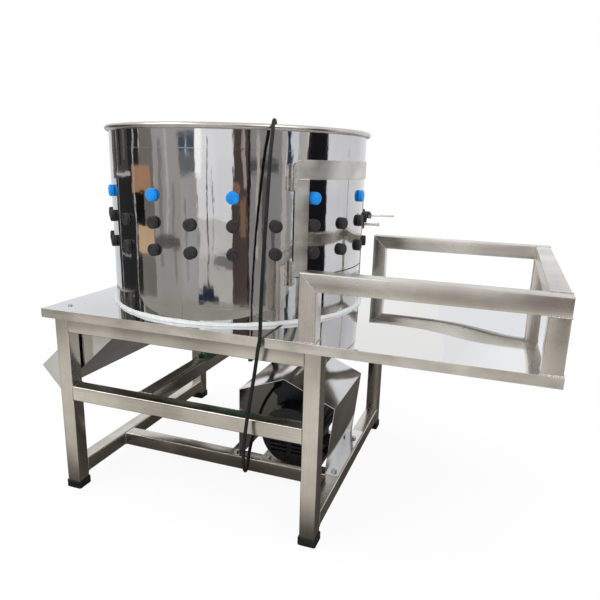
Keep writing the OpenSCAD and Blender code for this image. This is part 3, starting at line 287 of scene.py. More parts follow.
def lathed(profile, centre, axis, first, sides=32, six=False):
    """A profile of (distance along the axis, radius) turned round the axis. With `six` the
    circle is drawn in to a six-sided nut where the profile's third value is 1."""
    profile = np.array(profile, float)
    axis, first = np.array(axis, float), np.array(first, float)
    second = np.cross(axis, first)
    turn = turns(sides)
    radius = profile[:, 1:2] * np.ones(sides)
    if six:
        flats = math.cos(math.pi / 6) / np.cos((turn % (math.pi / 3)) - math.pi / 6)
        radius = radius * (1 + profile[:, 2:3] * (flats - 1))
    return (np.array(centre, float) + profile[:, 0, None, None] * axis
            + radius[..., None] * (first * np.cos(turn)[:, None] + second * np.sin(turn)[:, None]))


black_plastic = finish("black moulded plastic", (0.008, 0.008, 0.009),
                       (0.02, 0.02, 0.021), 400, (0.38, 0.55), bump=0.2,
                       depth=0.1 * mm, sheen=0.3)
gland_steps = [(-5, 5.6, 0), (0, 5.6, 0), (0, 8, 1), (0.6, 8, 1), (8.6, 8, 1), (9.6, 7.6, 1), (10, 6.4, 0)]
boot_rings = [(11 + 1.8 * k + d, 6.4 - 0.22 * k - (0.5 if d else 0), 0) for k in range(6) for d in (0, 0.9)]
gland_profile = np.array(gland_steps + boot_rings + [(21.8, 4.6, 0), (22, 4.05, 0)]) * [mm, mm, 1]
piece("cord_gland_boot", [rod(lathed(gland_profile, gland_mouth, (0, -1, 0), (0, 0, 1), 36, six=True))],
      black_plastic, ["cable_gland"], crease=30)

# The plug is a plain moulded two pin one. Its grip is rounded rubber with three finger
# grooves, and its pins are bright metal.
plug_top = cord_points[-1]
pin_apart = 6.5 * mm
plug_steps = np.array([(0, 4.1), (0.5, 5.2), (9, 5.6), (11, 7), (13, 10.5), (16, 12.6), (20, 12.2),
                       (22, 12.9), (25, 12.4), (27, 13.1), (30, 13.4), (33, 13.8), (33.8, 13),
                       (34, 11)]) * mm
pin_steps = np.array([(33.5, 2.1), (47, 2.1), (49, 1.8), (49.9, 0.9), (50, 0.3)]) * mm
plug_grip = piece("plug_grip", [rod(lathed(plug_steps, plug_top, (0, 0, -1), (0, 1, 0)))],
                  cord_rubber, ["plug"])
plug_brass = finish("plug pins", (0.55, 0.5, 0.4), (0.75, 0.7, 0.6), (200, 200, 20),
                    (0.2, 0.35), metal=1.0)
plug_pins = piece("plug_pins", [rod(lathed(pin_steps, plug_top + [x, 0, 0], (0, 0, -1), (0, 1, 0), 16))
                                for x in (-pin_apart, pin_apart)], plug_brass)

# ---- The legs and rails ----
# Square stainless tube with rounded corners, cut square and butt welded. The mill's brushing
# runs along each tube, and the welding has left a straw tint at the ends.
tube_side = 38 * mm
half_tube = tube_side / 2
tube_corner = 3 * mm
end_rows = np.array([0, 3, 7, 12, 20, 32]) * mm
end_heat, heat_reach = 0.75, 9 * mm
grain_shift = np.array([3.1, 5.3, 7.7])
tube_steel = finish("brushed tube steel", (0.38, 0.355, 0.32), (0.74, 0.705, 0.65), (3, 900, 1),
                    (0.18, 0.3), metal=1.0, bump=0.12, depth=0.06 * mm, source="UV", fine_part=0.22,
                    broad=4.5, tint=(0.42, 0.29, 0.16))


def square_tube(route, across):
    """Rounded squares carried along the straight stretches of a route that lies square to
    `across`. Where two stretches meet, both end in the plane that halves the bend, as a mitre.
    Rows lie closest at the ends, where the heat, exp(-distance / reach), is held. The brushing
    starts at a place of its own for each stretch."""
    route, across = np.array(route, float), np.array(across, float)
    quarter = np.repeat(np.arange(4), 5) * math.pi / 2
    corner_turn = quarter + np.tile(np.linspace(0, math.pi / 2, 5), 4)
    flat = math.sqrt(2) * (half_tube - tube_corner)
    s = flat * np.cos(quarter + math.pi / 4) + tube_corner * np.cos(corner_turn)
    t = flat * np.sin(quarter + math.pi / 4) + tube_corner * np.sin(corner_turn)
    round_it = np.append(run_of(np.stack([s, t], -1)), 4 * tube_side)
    aims = np.diff(route, axis=0)
    lengths = np.linalg.norm(aims, axis=1)
    aims /= lengths[:, None]
    skins = []
    for k, (aim, length) in enumerate(zip(aims, lengths)):
        section = s[:, None] * np.cross(across, aim) + t[:, None] * across
        ends = []
        for end, other in ((k, k - 1), (k + 1, k + 1)):
            mitre = aim + (aims[other] if 0 <= other < len(aims) else aim)
            ends.append(route[end] + section - ((section @ mitre) / (aim @ mitre))[:, None] * aim)
        far = np.concatenate([end_rows, length - end_rows[::-1]])
        grid = ends[0][None] + (ends[1] - ends[0])[None] * (far / length)[:, None, None]
        hot = end_heat * np.exp(-np.minimum(far, length - far) / heat_reach)
        shift = (route[k] @ grain_shift) % 1
        uv = grid_of(far[:, None] + 3 * shift, round_it[None] + shift)
        skins.append(rod(grid, uv=uv, heat=hot[:, None]))
    return skins


bead_step, ripple, slow_ripple = 0.7 * mm, 2.4 * mm, 7.3 * mm
bead_sides, bead_heat = 6, 0.35
askew = (0.31, 0.57, 0.76)  # a direction that no seam runs along


def bead(corners, radius):
    """A welder's seam along straight stretches: circles whose radius is r (0.85 + 0.25 of a sine
    over one ripple + 0.15 of a sine over one slow ripple)."""
    corners = np.array(corners, float)
    far = np.arange(0, run_of(corners)[-1], bead_step)
    swell = radius * (0.85 + 0.25 * np.sin(2 * math.pi * far / ripple)
                      + 0.15 * np.sin(2 * math.pi * far / slow_ripple))
    return rod(hose(at_runs(corners, far), swell, bead_sides, side=askew),
               heat=np.full((1, bead_sides), bead_heat))


seams = []
square_loop = ((-1, -1), (1, -1), (1, 1), (-1, 1), (-1, -1))
rail_bead = 1.3 * mm


def rail(first, last):
    """A level rail between two points on its middle line, with a seam round each end."""
    first, last = np.array(first, float), np.array(last, float)
    aim = (last - first) / np.linalg.norm(last - first)
    u = half_tube * np.array([0.0, 0.0, 1.0])
    v = np.cross(aim, u)
    for end in (first, last):
        seams.append(bead([end + a * u + b * v for a, b in square_loop], rail_bead))
    return square_tube([first, last], (0, 0, 1))


def rails_of(node, along_x, inset=0.0):
    """The rails of a node, from its box: one on each long side, or a single one where the box
    is one tube wide, each ending at an inset from the box's ends."""
    low, high = box_of(node)
    run, side = (0, 1) if along_x else (1, 0)
    sides = (low[side] + half_tube, high[side] - half_tube)
    if high[side] - low[side] < 1.5 * tube_side:
        sides = ((low[side] + high[side]) / 2,)
    skins = []
    for place in sides:
        ends = np.array([low, high], float)
        ends[:, side] = place
        ends[:, 2] = (low[2] + high[2]) / 2
        ends[:, run] += (inset, -inset)
        skins += rail(*ends)
    return skins


leg_places = [(x, y) for x in (legs_low[0] + half_tube, legs_high[0] - half_tube)
              for y in (legs_low[1] + half_tube, legs_high[1] - half_tube)]
piece("leg_tubes", [tube for x, y in leg_places for tube in
                    square_tube([(x, y, legs_low[2]), (x, y, legs_high[2])], (0, 1, 0))],
      tube_steel, ["legs"])
for node, along_x in (("upper_cross_rails", False), ("mid_rails", True), ("mid_cross_member", False),
                      ("low_side_rails", False), ("low_beams", True)):
    piece(node + "_tube", rails_of(node, along_x), tube_steel, [node])
piece("upper_rail_tubes", rails_of("upper_rails", True, tube_side)
      + rails_of("upper_rails", False, tube_side), tube_steel, ["upper_rails"])

# ---- The foot caps ----
# Soft black rubber cups pushed over the legs' ends, with a rounded rim.
cap_low, cap_high = box_of("foot_caps")
cap_height = cap_high[2] - cap_low[2]
cap_half = half_tube + 3 * mm
cap_power, cap_sides = 14, 48
cap_rubber = finish("foot rubber", (0.006, 0.006, 0.007), (0.02, 0.02, 0.02), 350,
                    (0.5, 0.7), bump=0.3, depth=0.2 * mm, sheen=0.3)


def squarish(half, height, centre):
    """A level ring: the rounded square |x|^p + |y|^p = half^p at one height."""
    turn = turns(cap_sides) + math.pi / cap_sides
    reach = half * (np.abs(np.cos(turn)) ** cap_power
                    + np.abs(np.sin(turn)) ** cap_power) ** (-1 / cap_power)
    return grid_of(centre[0] + reach * np.cos(turn), centre[1] + reach * np.sin(turn), height)


cap_profile = [(cap_half - 3 * mm, 0.0), (cap_half - 0.8 * mm, 0.4 * mm), (cap_half, 2 * mm),
               (cap_half - 0.3 * mm, 0.5 * cap_height), (cap_half, cap_height - 2.4 * mm),
               (cap_half - 0.5 * mm, cap_height - 0.6 * mm), (cap_half - 1.4 * mm, cap_height),
               (half_tube + 0.1 * mm, cap_height - 0.3 * mm), (half_tube - 1 * mm, cap_height - 1.5 * mm)]
piece("foot_cups", [rod(np.array([squarish(h, z, place) for h, z in cap_profile]))
                    for place in leg_places], cap_rubber, ["foot_caps"])

# ---- The table and the tray ----
# Two pans of thin stainless sheet with a bright finish, their edges folded down and in. The
# folds are slightly round. A small pan head screw holds each left corner of the table.
sheet_steel = finish("bright sheet steel", (0.72, 0.72, 0.715), (0.83, 0.83, 0.825),
                     (8, 20, 8), (0.015, 0.05), metal=1.0, bump=1.0, depth=9 * mm, fine_part=0.002,
                     broad=3.2, detail=0)
formed_steel = finish("formed sheet steel", (0.54, 0.54, 0.535), (0.72, 0.72, 0.715),
                      (30, 200, 30), (0.07, 0.16), metal=1.0, bump=0.5, depth=1.0 * mm,
                      fine_part=0.05, broad=6)
fold_steel = finish("dull folded steel", (0.54, 0.52, 0.48), (0.8, 0.77, 0.72), (12, 260, 60),
                    (0.26, 0.42), metal=1.0, bump=0.12, depth=0.1 * mm, fine_part=0.4, broad=11)
fold_angle, flat_angle, same_place = 35, 0.5, 0.005 * mm


def softened(node, edge, finish_used, body="frame", upright=None):
    """A piece from a CAD node's mesh, merged to whole faces, whose edges a bevel rounds by `edge`.
    Faces that don't look up may have a finish of their own."""
    work = bmesh.new()
    work.from_mesh(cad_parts[node].data)
    bmesh.ops.remove_doubles(work, verts=work.verts, dist=same_place)
    bmesh.ops.dissolve_limit(work, angle_limit=math.radians(flat_angle), verts=work.verts, edges=work.edges)
    mesh = bpy.data.meshes.new(node + "_made")
    work.to_mesh(mesh)
    work.free()
    made = mounted(mesh.name, mesh, finish_used, [node], body, fold_angle)
    if upright is not None:
        mesh.materials.append(upright)
        for face in mesh.polygons:
            face.material_index = int(face.normal.z < 0.5)
    rounding = made.modifiers.new("rounding", "BEVEL")
    rounding.width = edge
    rounding.segments = 2
    rounding.limit_method = "ANGLE"
    rounding.angle_limit = math.radians(fold_angle)
    rounding.harden_normals = True


softened("table_sheet", 0.7 * mm, sheet_steel, upright=fold_steel)
softened("tray_sheet", 0.7 * mm, sheet_steel, upright=fold_steel)
fitting_steel = finish("dull fitting steel", (0.34, 0.32, 0.29), (0.7, 0.67, 0.63),
                       120, (0.15, 0.3), metal=1.0, bump=0.1, depth=0.1 * mm)
softened("deck_screws", 0.8 * mm, fitting_steel)

# ---- The railing ----
# The same tube, standing on the tray round three sides. The left corners are mitred, the
# right ones butt, with rough seams.
rail_low, rail_high = box_of("railing_posts")
rail_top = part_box("railing_bar_front")[1][2]
bar_height, bar_foot = rail_top - half_tube, rail_top - tube_side
post_left, post_right = rail_low[0] + half_tube, rail_high[0] - half_tube
mitre_bead, butt_bead, post_bead, post_bead_up = 0.7 * mm, 1.6 * mm, 1.5 * mm, 0.8 * mm
railing_skins = []
for y in (rail_low[1] + half_tube, rail_high[1] - half_tube):
    railing_skins += square_tube([(post_left, y, rail_low[2]), (post_left, y, bar_height),
                                  (rail_high[0], y, bar_height)], (0, 1, 0))
    railing_skins += square_tube([(post_right, y, rail_low[2]), (post_right, y, bar_foot)], (0, 1, 0))
    for face in (y - half_tube, y + half_tube):
        seams.append(bead([(post_left - half_tube, face, rail_top), (post_left + half_tube, face, bar_foot)],
                          mitre_bead))
    seams.append(bead([(rail_high[0] - tube_side, y - half_tube, bar_foot),
                       (rail_high[0], y - half_tube, bar_foot),
                       (rail_high[0], y + half_tube, bar_foot)], butt_bead))
    for x in (post_left, post_right):
        seams.append(bead([(x + a * half_tube, y + b * half_tube, rail_low[2] + post_bead_up)
                           for a, b in square_loop], post_bead))
railing_skins += rail((post_right, rail_low[1] + tube_side, bar_height),
                      (post_right, rail_high[1] - tube_side, bar_height))
piece("railing_tubes", railing_skins, tube_steel,
      ["railing_posts", "railing_bar_front", "railing_bar_rear", "railing_bar_right"])
seam_steel = finish("weld seam steel", (0.34, 0.31, 0.27), (0.8, 0.76, 0.7), 300,
                    (0.16, 0.34), metal=1.0, bump=0.4, depth=0.3 * mm, tint=(0.5, 0.38, 0.24))
piece("weld_seams", seams, seam_steel, crease=80)

# ---- The drum ----
# A rolled cylinder of polished sheet with a rolled rim, a fine bead line near the top and a
# lapped band round its foot. A square opening for the door is cut in its right side.
shell_low, shell_high = box_of("drum_shell")
drum_middle = (shell_low + shell_high) / 2
drum_radius = (shell_high[0] - shell_low[0]) / 2
drum_foot = shell_low[2]
drum_lip = shell_high[2]
shell_radii = (drum_radius, drum_radius - 1.5 * mm)
degree_run = drum_radius * math.pi / 180
door_angles = (-44.2, 22.5)
opening_low, opening_high = drum_foot + 106 * mm, drum_foot + 356 * mm
bead_line, bead_line_lift = drum_foot + 382 * mm, 0.1 * mm
band_angles, band_height, band_wall = (-83, 272), 38 * mm, 0.7 * mm
mirror_steel = finish("polished drum steel", (0.5, 0.495, 0.49), (0.62, 0.615, 0.61),
                      (13, 2.0, 1), (0.03, 0.08), metal=1.0, bump=1.0, depth=1.6 * mm, source="UV", broad=6)


def about_drum(radius, turn, height):
    """Points about the drum's axis: (middle x + r cos a, middle y + r sin a, height)."""
    return grid_of(drum_middle[0] + radius * np.cos(turn),
                   drum_middle[1] + radius * np.sin(turn), height)


def drum_sheet(low, high, start, end, outer, inner, raised=()):
    """A curved sheet: an upright section between two radii, carried round the drum's axis by
    (r cos a, r sin a, z) with a row for each degree. A raised height swells the outer face there,
    between rows that hold the flat face beside it."""
    lifts = [(z + d * mm, outer + bead_line_lift * (d == 0))
             for z in raised for d in (-1.6, -0.8, 0, 0.8, 1.6)]
    section = np.array([(low, inner), (high, inner), (high, outer)] + lifts[::-1] + [(low, outer)])
    turn = np.radians(np.linspace(start, end, max(2, int(abs(end - start)) + 1)))[:, None]
    uv = grid_of(turn * drum_radius, np.append(section[:, 0], section[0, 0])[None])
    return rod(about_drum(section[None, :, 1], turn, section[None, :, 0]), uv=uv)


piece("drum_sheet", [
    drum_sheet(drum_foot, drum_lip, door_angles[1], door_angles[0] + 360, *shell_radii, [bead_line]),
    drum_sheet(opening_high, drum_lip, *door_angles, *shell_radii, [bead_line]),
    drum_sheet(drum_foot, opening_low, *door_angles, *shell_radii)],
    mirror_steel, ["drum_shell"])
piece("drum_foot_band", [drum_sheet(drum_foot, drum_foot + band_height, *band_angles, drum_radius + band_wall,
                                    drum_radius)], mirror_steel)
rim_low, rim_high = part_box("drum_rim")
rim_radius = (rim_high[2] - rim_low[2]) / 2
rim_girth = 40 * mm
rim_turn = turns(240)
rim_line = about_drum(drum_radius + rim_radius / 2, rim_turn, rim_high[2] - rim_radius)


def round_loop(line, outward, upward):
    """A closed section of (outward, up) offsets carried round a level loop about the drum."""
    out = line - [drum_middle[0], drum_middle[1], 0]
    out[:, 2] = 0
    out /= np.linalg.norm(out, axis=1, keepdims=True)
    return line[:, None] + out[:, None] * outward[..., None] + np.array([0, 0, 1.0]) * upward[..., None]


rim_around = np.broadcast_to(turns(20), (240, 20))
rim_grid = round_loop(rim_line, rim_radius * np.sin(rim_around), rim_radius * np.cos(rim_around))
rim_uv = grid_of(np.append(rim_turn, 2 * math.pi)[:, None] * drum_radius,
                 np.linspace(0, rim_girth, 21)[None])
rim_steel = finish("dull rim steel", (0.4, 0.38, 0.35), (0.62, 0.6, 0.57), (3, 300, 1),
                   (0.2, 0.34), metal=1.0, bump=0.1, depth=0.1 * mm, source="UV")
piece("drum_rolled_rim", [skin(rim_grid, ring=True, loop=True, uv=rim_uv)], rim_steel, ["drum_rim"])
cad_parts["drum_base_ring"].data.materials.clear()
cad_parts["drum_base_ring"].data.materials.append(fitting_steel)

# ---- The sealant ----
# A bead of white silicone, pressed by hand into the corner between the drum and the table,
# so that its width and height waver.
silicone_low, silicone_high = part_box("sealant_bead")
silicone_turn = turns(420)
waver = (silicone_high[2] - silicone_low[2]) * (
    0.86 + 0.07 * np.sin(7 * silicone_turn + 1) + 0.04 * np.sin(23 * silicone_turn)
    + 0.03 * np.sin(61 * silicone_turn + 2))[:, None]
silicone_section = np.array([(-0.1, 0), (-0.1, 1), (0.25, 0.98), (0.55, 0.8), (0.82, 0.5),
                             (0.95, 0.22), (1, 0.02)])
silicone_grid = round_loop(about_drum(drum_radius, silicone_turn, drum_foot + 0.1 * mm),
                           silicone_section[:, 0] * waver, silicone_section[:, 1] * waver)
silicone = finish("white silicone", (0.66, 0.69, 0.7), (0.84, 0.86, 0.86), 90,
                  (0.35, 0.5), bump=0.4, depth=0.5 * mm)
piece("silicone_bead", [skin(silicone_grid, ring=True, loop=True)], silicone, ["sealant_bead"])

# ---- The rubber fingers ----
# Each is one rubber moulding: a two-step button head outside, a neck snapped into a punched
# hole, a collar, and a ringed shank that tapers to a blunt tip inside.
finger_length, finger_head, shank_rings, ring_pitch = 95.0, 14.0, 8, 9.6
shank = [(12 + k * ring_pitch + d, (10.8 - 0.4 * k) + r) for k in range(shank_rings)
         for d, r in ((0, -1.0), (2.2, 0.5), (4.4, 0.5), (6.4, -1.0))]
finger_profile = np.array(
    [(-11, 0.4), (-11, 8), (-10.7, 11.2), (-10, 12.8), (-9, 13.6), (-7, finger_head), (-6.4, 13.5),
     (-5.8, 12.7), (-5.2, 13.5), (-4.6, finger_head), (-1.4, finger_head), (-0.5, 13.4), (-0.35, 9.8),
     (2.2, 9.8), (2.2, 12.5), (2.9, 13), (6, 13), (7, 12), (8.5, 10.2)] + shank
    + [(89.5, 7), (93, 5.5), (94.6, 3.4), (finger_length, 0.4)]) * mm
black_rubber = finish("black finger rubber", (0.011, 0.011, 0.012), (0.035, 0.035, 0.035),
                      160, (0.45, 0.7), bump=0.35, depth=0.3 * mm, broad=60, sheen=0.3)
blue_rubber = finish("blue finger rubber", (0.0, 0.22, 0.78), (0.0, 0.37, 0.98),
                     160, (0.38, 0.55), bump=0.25, depth=0.2 * mm, broad=60, sheen=0.3)
columns, first_column = 22, -67.5
column_angle = first_column + 360 / columns * np.arange(columns)
column_angle = np.where(column_angle > 180, column_angle - 360, column_angle)
black_rows = (drum_foot + 161 * mm, drum_foot + 222 * mm)
blue_row = drum_foot + 282 * mm


def wall_finger(angle, height):
    """A finger through the drum's wall at an angle and height, pointing at the axis."""
    a = math.radians(angle)
    inward = np.array([-math.cos(a), -math.sin(a), 0])
    return rod(lathed(finger_profile, about_drum(drum_radius, a, height), inward, (0, 0, 1), 22))


for name, nodes, on_door, body in (("drum_fingers", "wall_fingers", False, "frame"),
                                   ("door_fingers_set", "door_fingers", True, "door")):
    kept = [(k, a) for k, a in enumerate(column_angle) if (door_angles[0] < a < door_angles[1]) == on_door]
    piece(name + "_black", [wall_finger(a, z) for k, a in kept for z in black_rows], black_rubber,
          [nodes + "_black"], body, crease=50)
    piece(name + "_blue", [wall_finger(a, blue_row) for k, a in kept if k % 2 == 0], blue_rubber,
          [nodes + "_blue"], body, crease=50)

# ---- The door ----
# A curved panel of the drum's own sheet. A dull strap along its top laps over the drum, a
# stile stands beside the hinges, and a small plate carries the latch.
door_gap = 2.5 * mm
panel_start, panel_end = door_angles[0] + door_gap / degree_run, door_angles[1] - door_gap / degree_run
piece("door_curved_panel", [drum_sheet(opening_low + door_gap, opening_high - door_gap, panel_start,
                                       panel_end, *shell_radii)], mirror_steel, ["door_panel"], "door")
strap_steel = finish("dull strap steel", (0.4, 0.385, 0.35), (0.7, 0.68, 0.63), (4, 22, 1),
                     (0.26, 0.44), metal=1.0, bump=0.12, depth=0.15 * mm, source="UV", broad=16)
strap_inner = drum_radius + 0.3 * mm
strap_outer = strap_inner + 2 * mm
strap_edge = 0.5 * mm
strap_top = opening_high + 8 * mm
strap_foot = strap_top - 42 * mm
strap_end = door_angles[1] + 8 * mm / degree_run
stile_end = panel_start + 36 * mm / degree_run
corner_round = 16 * mm
latch_start, latch_end = 19.4 - 14.2 * mm / degree_run, door_angles[1] - 0.6
latch_low, latch_high = drum_foot + 189 * mm, drum_foot + 243 * mm


def strap(start, end, low, high, corner=0.0, steps=40):
    """A curved strap whose top left corner is a quarter circle: its top edge falls by
    r - sqrt(r^2 - (r - s)^2) at a distance s under r from its left end."""
    turn = np.linspace(0, 1, steps) ** (2 if corner else 1) * (end - start) + start
    run = (turn - start) * degree_run
    inside = np.clip(corner - run, 0, None)
    top = high - corner + np.sqrt(np.maximum(corner ** 2 - inside ** 2, 0))
    low = np.full(steps, low)
    z = np.stack([low, top, top, top - strap_edge, low + strap_edge, low], -1)
    r = np.array([[strap_inner, strap_inner, strap_outer - strap_edge, strap_outer, strap_outer,
                   strap_outer - strap_edge]])
    uv = grid_of(run[:, None], np.hstack([z, z[:, :1]]))
    return rod(about_drum(r, np.radians(turn)[:, None], z), uv=uv)


piece("door_strap_frame", [strap(panel_start, strap_end, strap_foot, strap_top, corner_round),
                           strap(panel_start, stile_end, opening_low + door_gap, strap_foot),
                           strap(latch_start, latch_end, latch_low, latch_high, steps=12)],
      strap_steel, ["door_straps"], "door")


def wall_seam(first, last, radius):
    """A weld seam on the drum's wall between two (degrees, height, distance outward) places,
    with a point for every degree or so."""
    share = np.linspace(0, 1, 2 + int(abs(last[0] - first[0])))[:, None]
    angle, height, outward = (np.array(first) + (np.array(last) - first) * share).T
    return bead(about_drum(drum_radius + outward, np.radians(angle), height), radius)


strap_face = 2.3 * mm
stile_seam_top, stile_seam_foot = strap_foot - 1 * mm, strap_foot - 60 * mm
piece("strap_weld_seams", [
    wall_seam((panel_start + 0.5, strap_foot, strap_face), (stile_end, strap_foot, strap_face), 2.2 * mm),
    wall_seam((stile_end, stile_seam_top, 1 * mm), (stile_end, stile_seam_foot, 1 * mm), 0.7 * mm)],
    seam_steel, body="door", crease=80)
hinge_low, hinge_high = box_of("hinge_leaves_drum")
leaf_edge = math.degrees(math.atan2(hinge_low[1] - drum_middle[1], hinge_low[0] - drum_middle[0]))
leaf_tall, leaf_face, leaf_bead, seam_short = 54 * mm, 0.5 * mm, 1.9 * mm, 3 * mm
piece("hinge_weld_seams", [
    wall_seam((leaf_edge, z + seam_short, leaf_face), (leaf_edge, z + leaf_tall - seam_short, leaf_face),
              leaf_bead)
    for z in (hinge_low[2], hinge_high[2] - leaf_tall / 2)], seam_steel, crease=80)
for node, body in (("hinge_leaves_drum", "frame"), ("hinge_pins", "frame"), ("hinge_leaves_door", "door"),
                   ("latch_keeper", "frame"), ("door_pull", "door"), ("latch_bolt", "latch_slider")):
    softened(node, 0.5 * mm, fitting_steel, body)
softened("latch_base", 0.8 * mm, black_plastic, "door")

# ---- The turning plate ----
# A polished disc carried by a hub on the upright shaft. Its fingers stand up through it, and
# two flat sweepers below push the feathers round to the outlet.
plate_steel = finish("plate steel", (0.5, 0.5, 0.495), (0.64, 0.64, 0.63), 60,
                     (0.12, 0.24), metal=1.0, bump=0.1, depth=0.2 * mm, broad=6)
softened("plucking_plate", 0.4 * mm, plate_steel, "rotor")
softened("plate_hub", 0.8 * mm, fitting_steel, "rotor")
softened("feather_sweepers", 0.5 * mm, fitting_steel, "rotor")
plate_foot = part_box("plucking_plate")[0][2]
plate_rings = ((18, 284 * mm, 0), (13, 208 * mm, 7), (8, 132 * mm, 3))  # fingers, radius, first angle
plate_roots = [about_drum(radius, a, plate_foot) for count, radius, start in plate_rings
               for a in np.radians(start + 360 / count * np.arange(count))]
piece("plate_finger_set", [rod(lathed(finger_profile, root, (0, 0, 1), (1, 0, 0), 20))
                           for root in plate_roots], black_rubber, ["plate_fingers"], "rotor", crease=50)

# ---- The chute ----
# A sloped trough of bright sheet below the table's left end, with a rolled lip at its mouth.
# The lip runs down the front wall, along the floor and up the rear wall.
softened("chute", 0.5 * mm, formed_steel)
chute_low, chute_high = box_of("chute")
slope = math.radians(42.5)
wall_height, lip_radius, lip_turn, lip_step = 79 * mm, 2.2 * mm, 6 * mm, 2 * mm
mouth = spot(-41, 0, 256) * [1, 0, 1]
up_wall = np.array([-math.sin(slope), 0, math.cos(slope)])
up_slope = np.array([math.cos(slope), 0, math.sin(slope)])
lip_steps = ((wall_height - lip_radius, 1), (lip_turn, 1), (lip_radius, 3))
lip_half = {side: [mouth + up_wall * up + [0, wall + side * inward * lip_radius, 0]
                   for up, inward in lip_steps]
            for side, wall in ((1, chute_low[1]), (-1, chute_high[1]))}
lip_route = np.array(lip_half[1] + lip_half[-1][::-1]) + up_slope * lip_radius
lip_far = run_of(lip_route)
lip_at = np.sort(np.concatenate([lip_far, lip_far[1:-1] - lip_step, lip_far[1:-1] + lip_step]))
piece("chute_rolled_lip", [rod(hose(at_runs(lip_route, lip_at), lip_radius, 12, side=up_slope))],
      fold_steel)

# ---- The gearbox and the drive ----
# A green painted casting hangs below the table between the cross rails. It turns the plate's
# shaft through a bevel pair, and two V belts join it to the motor.
green_paint = finish("green cast paint", (0.01, 0.11, 0.055), (0.02, 0.2, 0.1),
                     220, (0.35, 0.55), bump=0.5, depth=0.5 * mm, broad=40)
shaft_steel = finish("turned shaft steel", (0.34, 0.34, 0.345), (0.52, 0.52, 0.52),
                     (40, 40, 400), (0.2, 0.36), metal=1.0)
belt_rubber = finish("belt rubber", (0.012, 0.012, 0.012), (0.035, 0.034, 0.033),
                     200, (0.6, 0.8), bump=0.2, depth=0.2 * mm)
for node, edge, used, body in (
        ("gearbox_housing", 3, green_paint, "frame"), ("gearbox_cover", 2, green_paint, "frame"),
        ("gearbox_bearings", 0.6, shaft_steel, "frame"), ("gearbox_hanger", 0.8, fold_steel, "frame"),
        ("output_shaft", 0.8, shaft_steel, "rotor"), ("bevel_gear", 0.3, shaft_steel, "rotor"),
        ("input_shaft", 0.8, shaft_steel, "input_line"), ("bevel_pinion", 0.3, shaft_steel, "input_line"),
        ("driven_pulley", 0.8, shaft_steel, "input_line"), ("drive_belts", 0.6, belt_rubber, "frame")):
    softened(node, edge * mm, used, body)

# ---- The motor ----
# A finned black enamelled induction motor on a base plate. Its fan cover has two columns of
# slots, and a dark terminal box stands on its back.
motor_enamel = finish("black motor enamel", (0.004, 0.004, 0.005), (0.014, 0.014, 0.016),
                      180, (0.22, 0.42), bump=0.2, depth=0.2 * mm, broad=30, sheen=0.3)
box_plastic = finish("dark box plastic", (0.005, 0.007, 0.013), (0.013, 0.017, 0.028),
                     200, (0.3, 0.45), bump=0.15, depth=0.2 * mm, broad=30, sheen=0.3)
can_metal = finish("capacitor can", (0.5, 0.5, 0.51), (0.65, 0.65, 0.66), (30, 300, 30),
                   (0.2, 0.35), metal=1.0)
for node, edge, used, body in (
        ("motor_stator", 0.8, motor_enamel, "frame"), ("motor_fan_cover", 0.6, motor_enamel, "frame"),
        ("motor_fan", 0.5, black_plastic, "motor_rotor"), ("motor_shaft", 0.6, shaft_steel, "motor_rotor"),
        ("drive_pulley", 0.8, shaft_steel, "motor_rotor"), ("motor_base_plate", 0.8, fold_steel, "frame"),
        ("terminal_box", 2.5, box_plastic, "frame"), ("capacitor", 1.5, can_metal, "frame")):
    softened(node, edge * mm, used, body)

# ---- The motor cover ----
# A folded hood of bright sheet, open at the front and back. Its feet are bolted to the low
# rails with plain hex bolts.
softened("motor_cover", 0.5 * mm, formed_steel)
softened("machine_bolts", 0.6 * mm, fitting_steel)

# ---- The studio ----
# A white floor and surround, evenly bright to the camera. Where polished metal mirrors it, the
# floor glows with painted shade instead: dark below and behind the machine, light in front of it,
# and a warm grey further off.
floor_reach = 14.0
corners = [(-floor_reach, -floor_reach, 0), (floor_reach, -floor_reach, 0),
           (floor_reach, floor_reach, 0), (-floor_reach, floor_reach, 0)]
floor_mesh = bpy.data.meshes.new("floor")
floor_mesh.from_pydata(corners, [], [(0, 1, 2, 3)])
put("floor", floor_mesh)


def bare_paint(name, mesh):
    """A material with no nodes yet, laid on a mesh. Gives its node tree and its output node."""
    made = bpy.data.materials.new(name)
    made.use_nodes = True
    made.node_tree.nodes.clear()
    mesh.materials.append(made)
    return made.node_tree, add_node(made.node_tree, "OutputMaterial")


tree, floor_out = bare_paint("floor white", floor_mesh)


def ramp(start, end, least=0.0):
    """A node that goes smoothly from `least` to 1 while its value goes from start to end."""
    return add_node(tree, "MapRange", {"From Min": start, "From Max": end, "To Min": least},
                    interpolation_type="SMOOTHSTEP")


ray = add_node(tree, "LightPath")
place = add_node(tree, "TexCoord")
parts = add_node(tree, "SeparateXYZ")
distance = add_node(tree, "VectorMath", operation="LENGTH")
in_front = ramp(-0.37, -0.57)  # by y
far_off = ramp(1.5, 2.3)  # by the distance from the middle
white_share = ramp(0.8, 3.0, 0.9)
# Painted shade and painted reflection that only polished metal sees: dark below and behind the machine, light
# in front, warm grey further off.
painted_shade_tone = add_node(tree, "MixRGB", {"Color1": (0.07, 0.06, 0.05, 1), "Color2": (0.8, 0.77, 0.72, 1)})
painted_mirror_tone = add_node(tree, "MixRGB", {"Color2": (0.4, 0.37, 0.33, 1)})
floor_tone = add_node(tree, "MixRGB", {"Color1": (1.03, 1.03, 1.03, 1)})
mirrored = add_node(tree, "Math", operation="MAXIMUM")
mirrored_share = add_node(tree, "Math", {1: 0.92}, operation="MULTIPLY")
glow_share = add_node(tree, "Math", operation="MULTIPLY_ADD", use_clamp=True)
chalk = add_node(tree, "BsdfDiffuse", {"Color": (0.85, 0.85, 0.85, 1)})
glow = add_node(tree, "Emission")
both = add_node(tree, "MixShader")
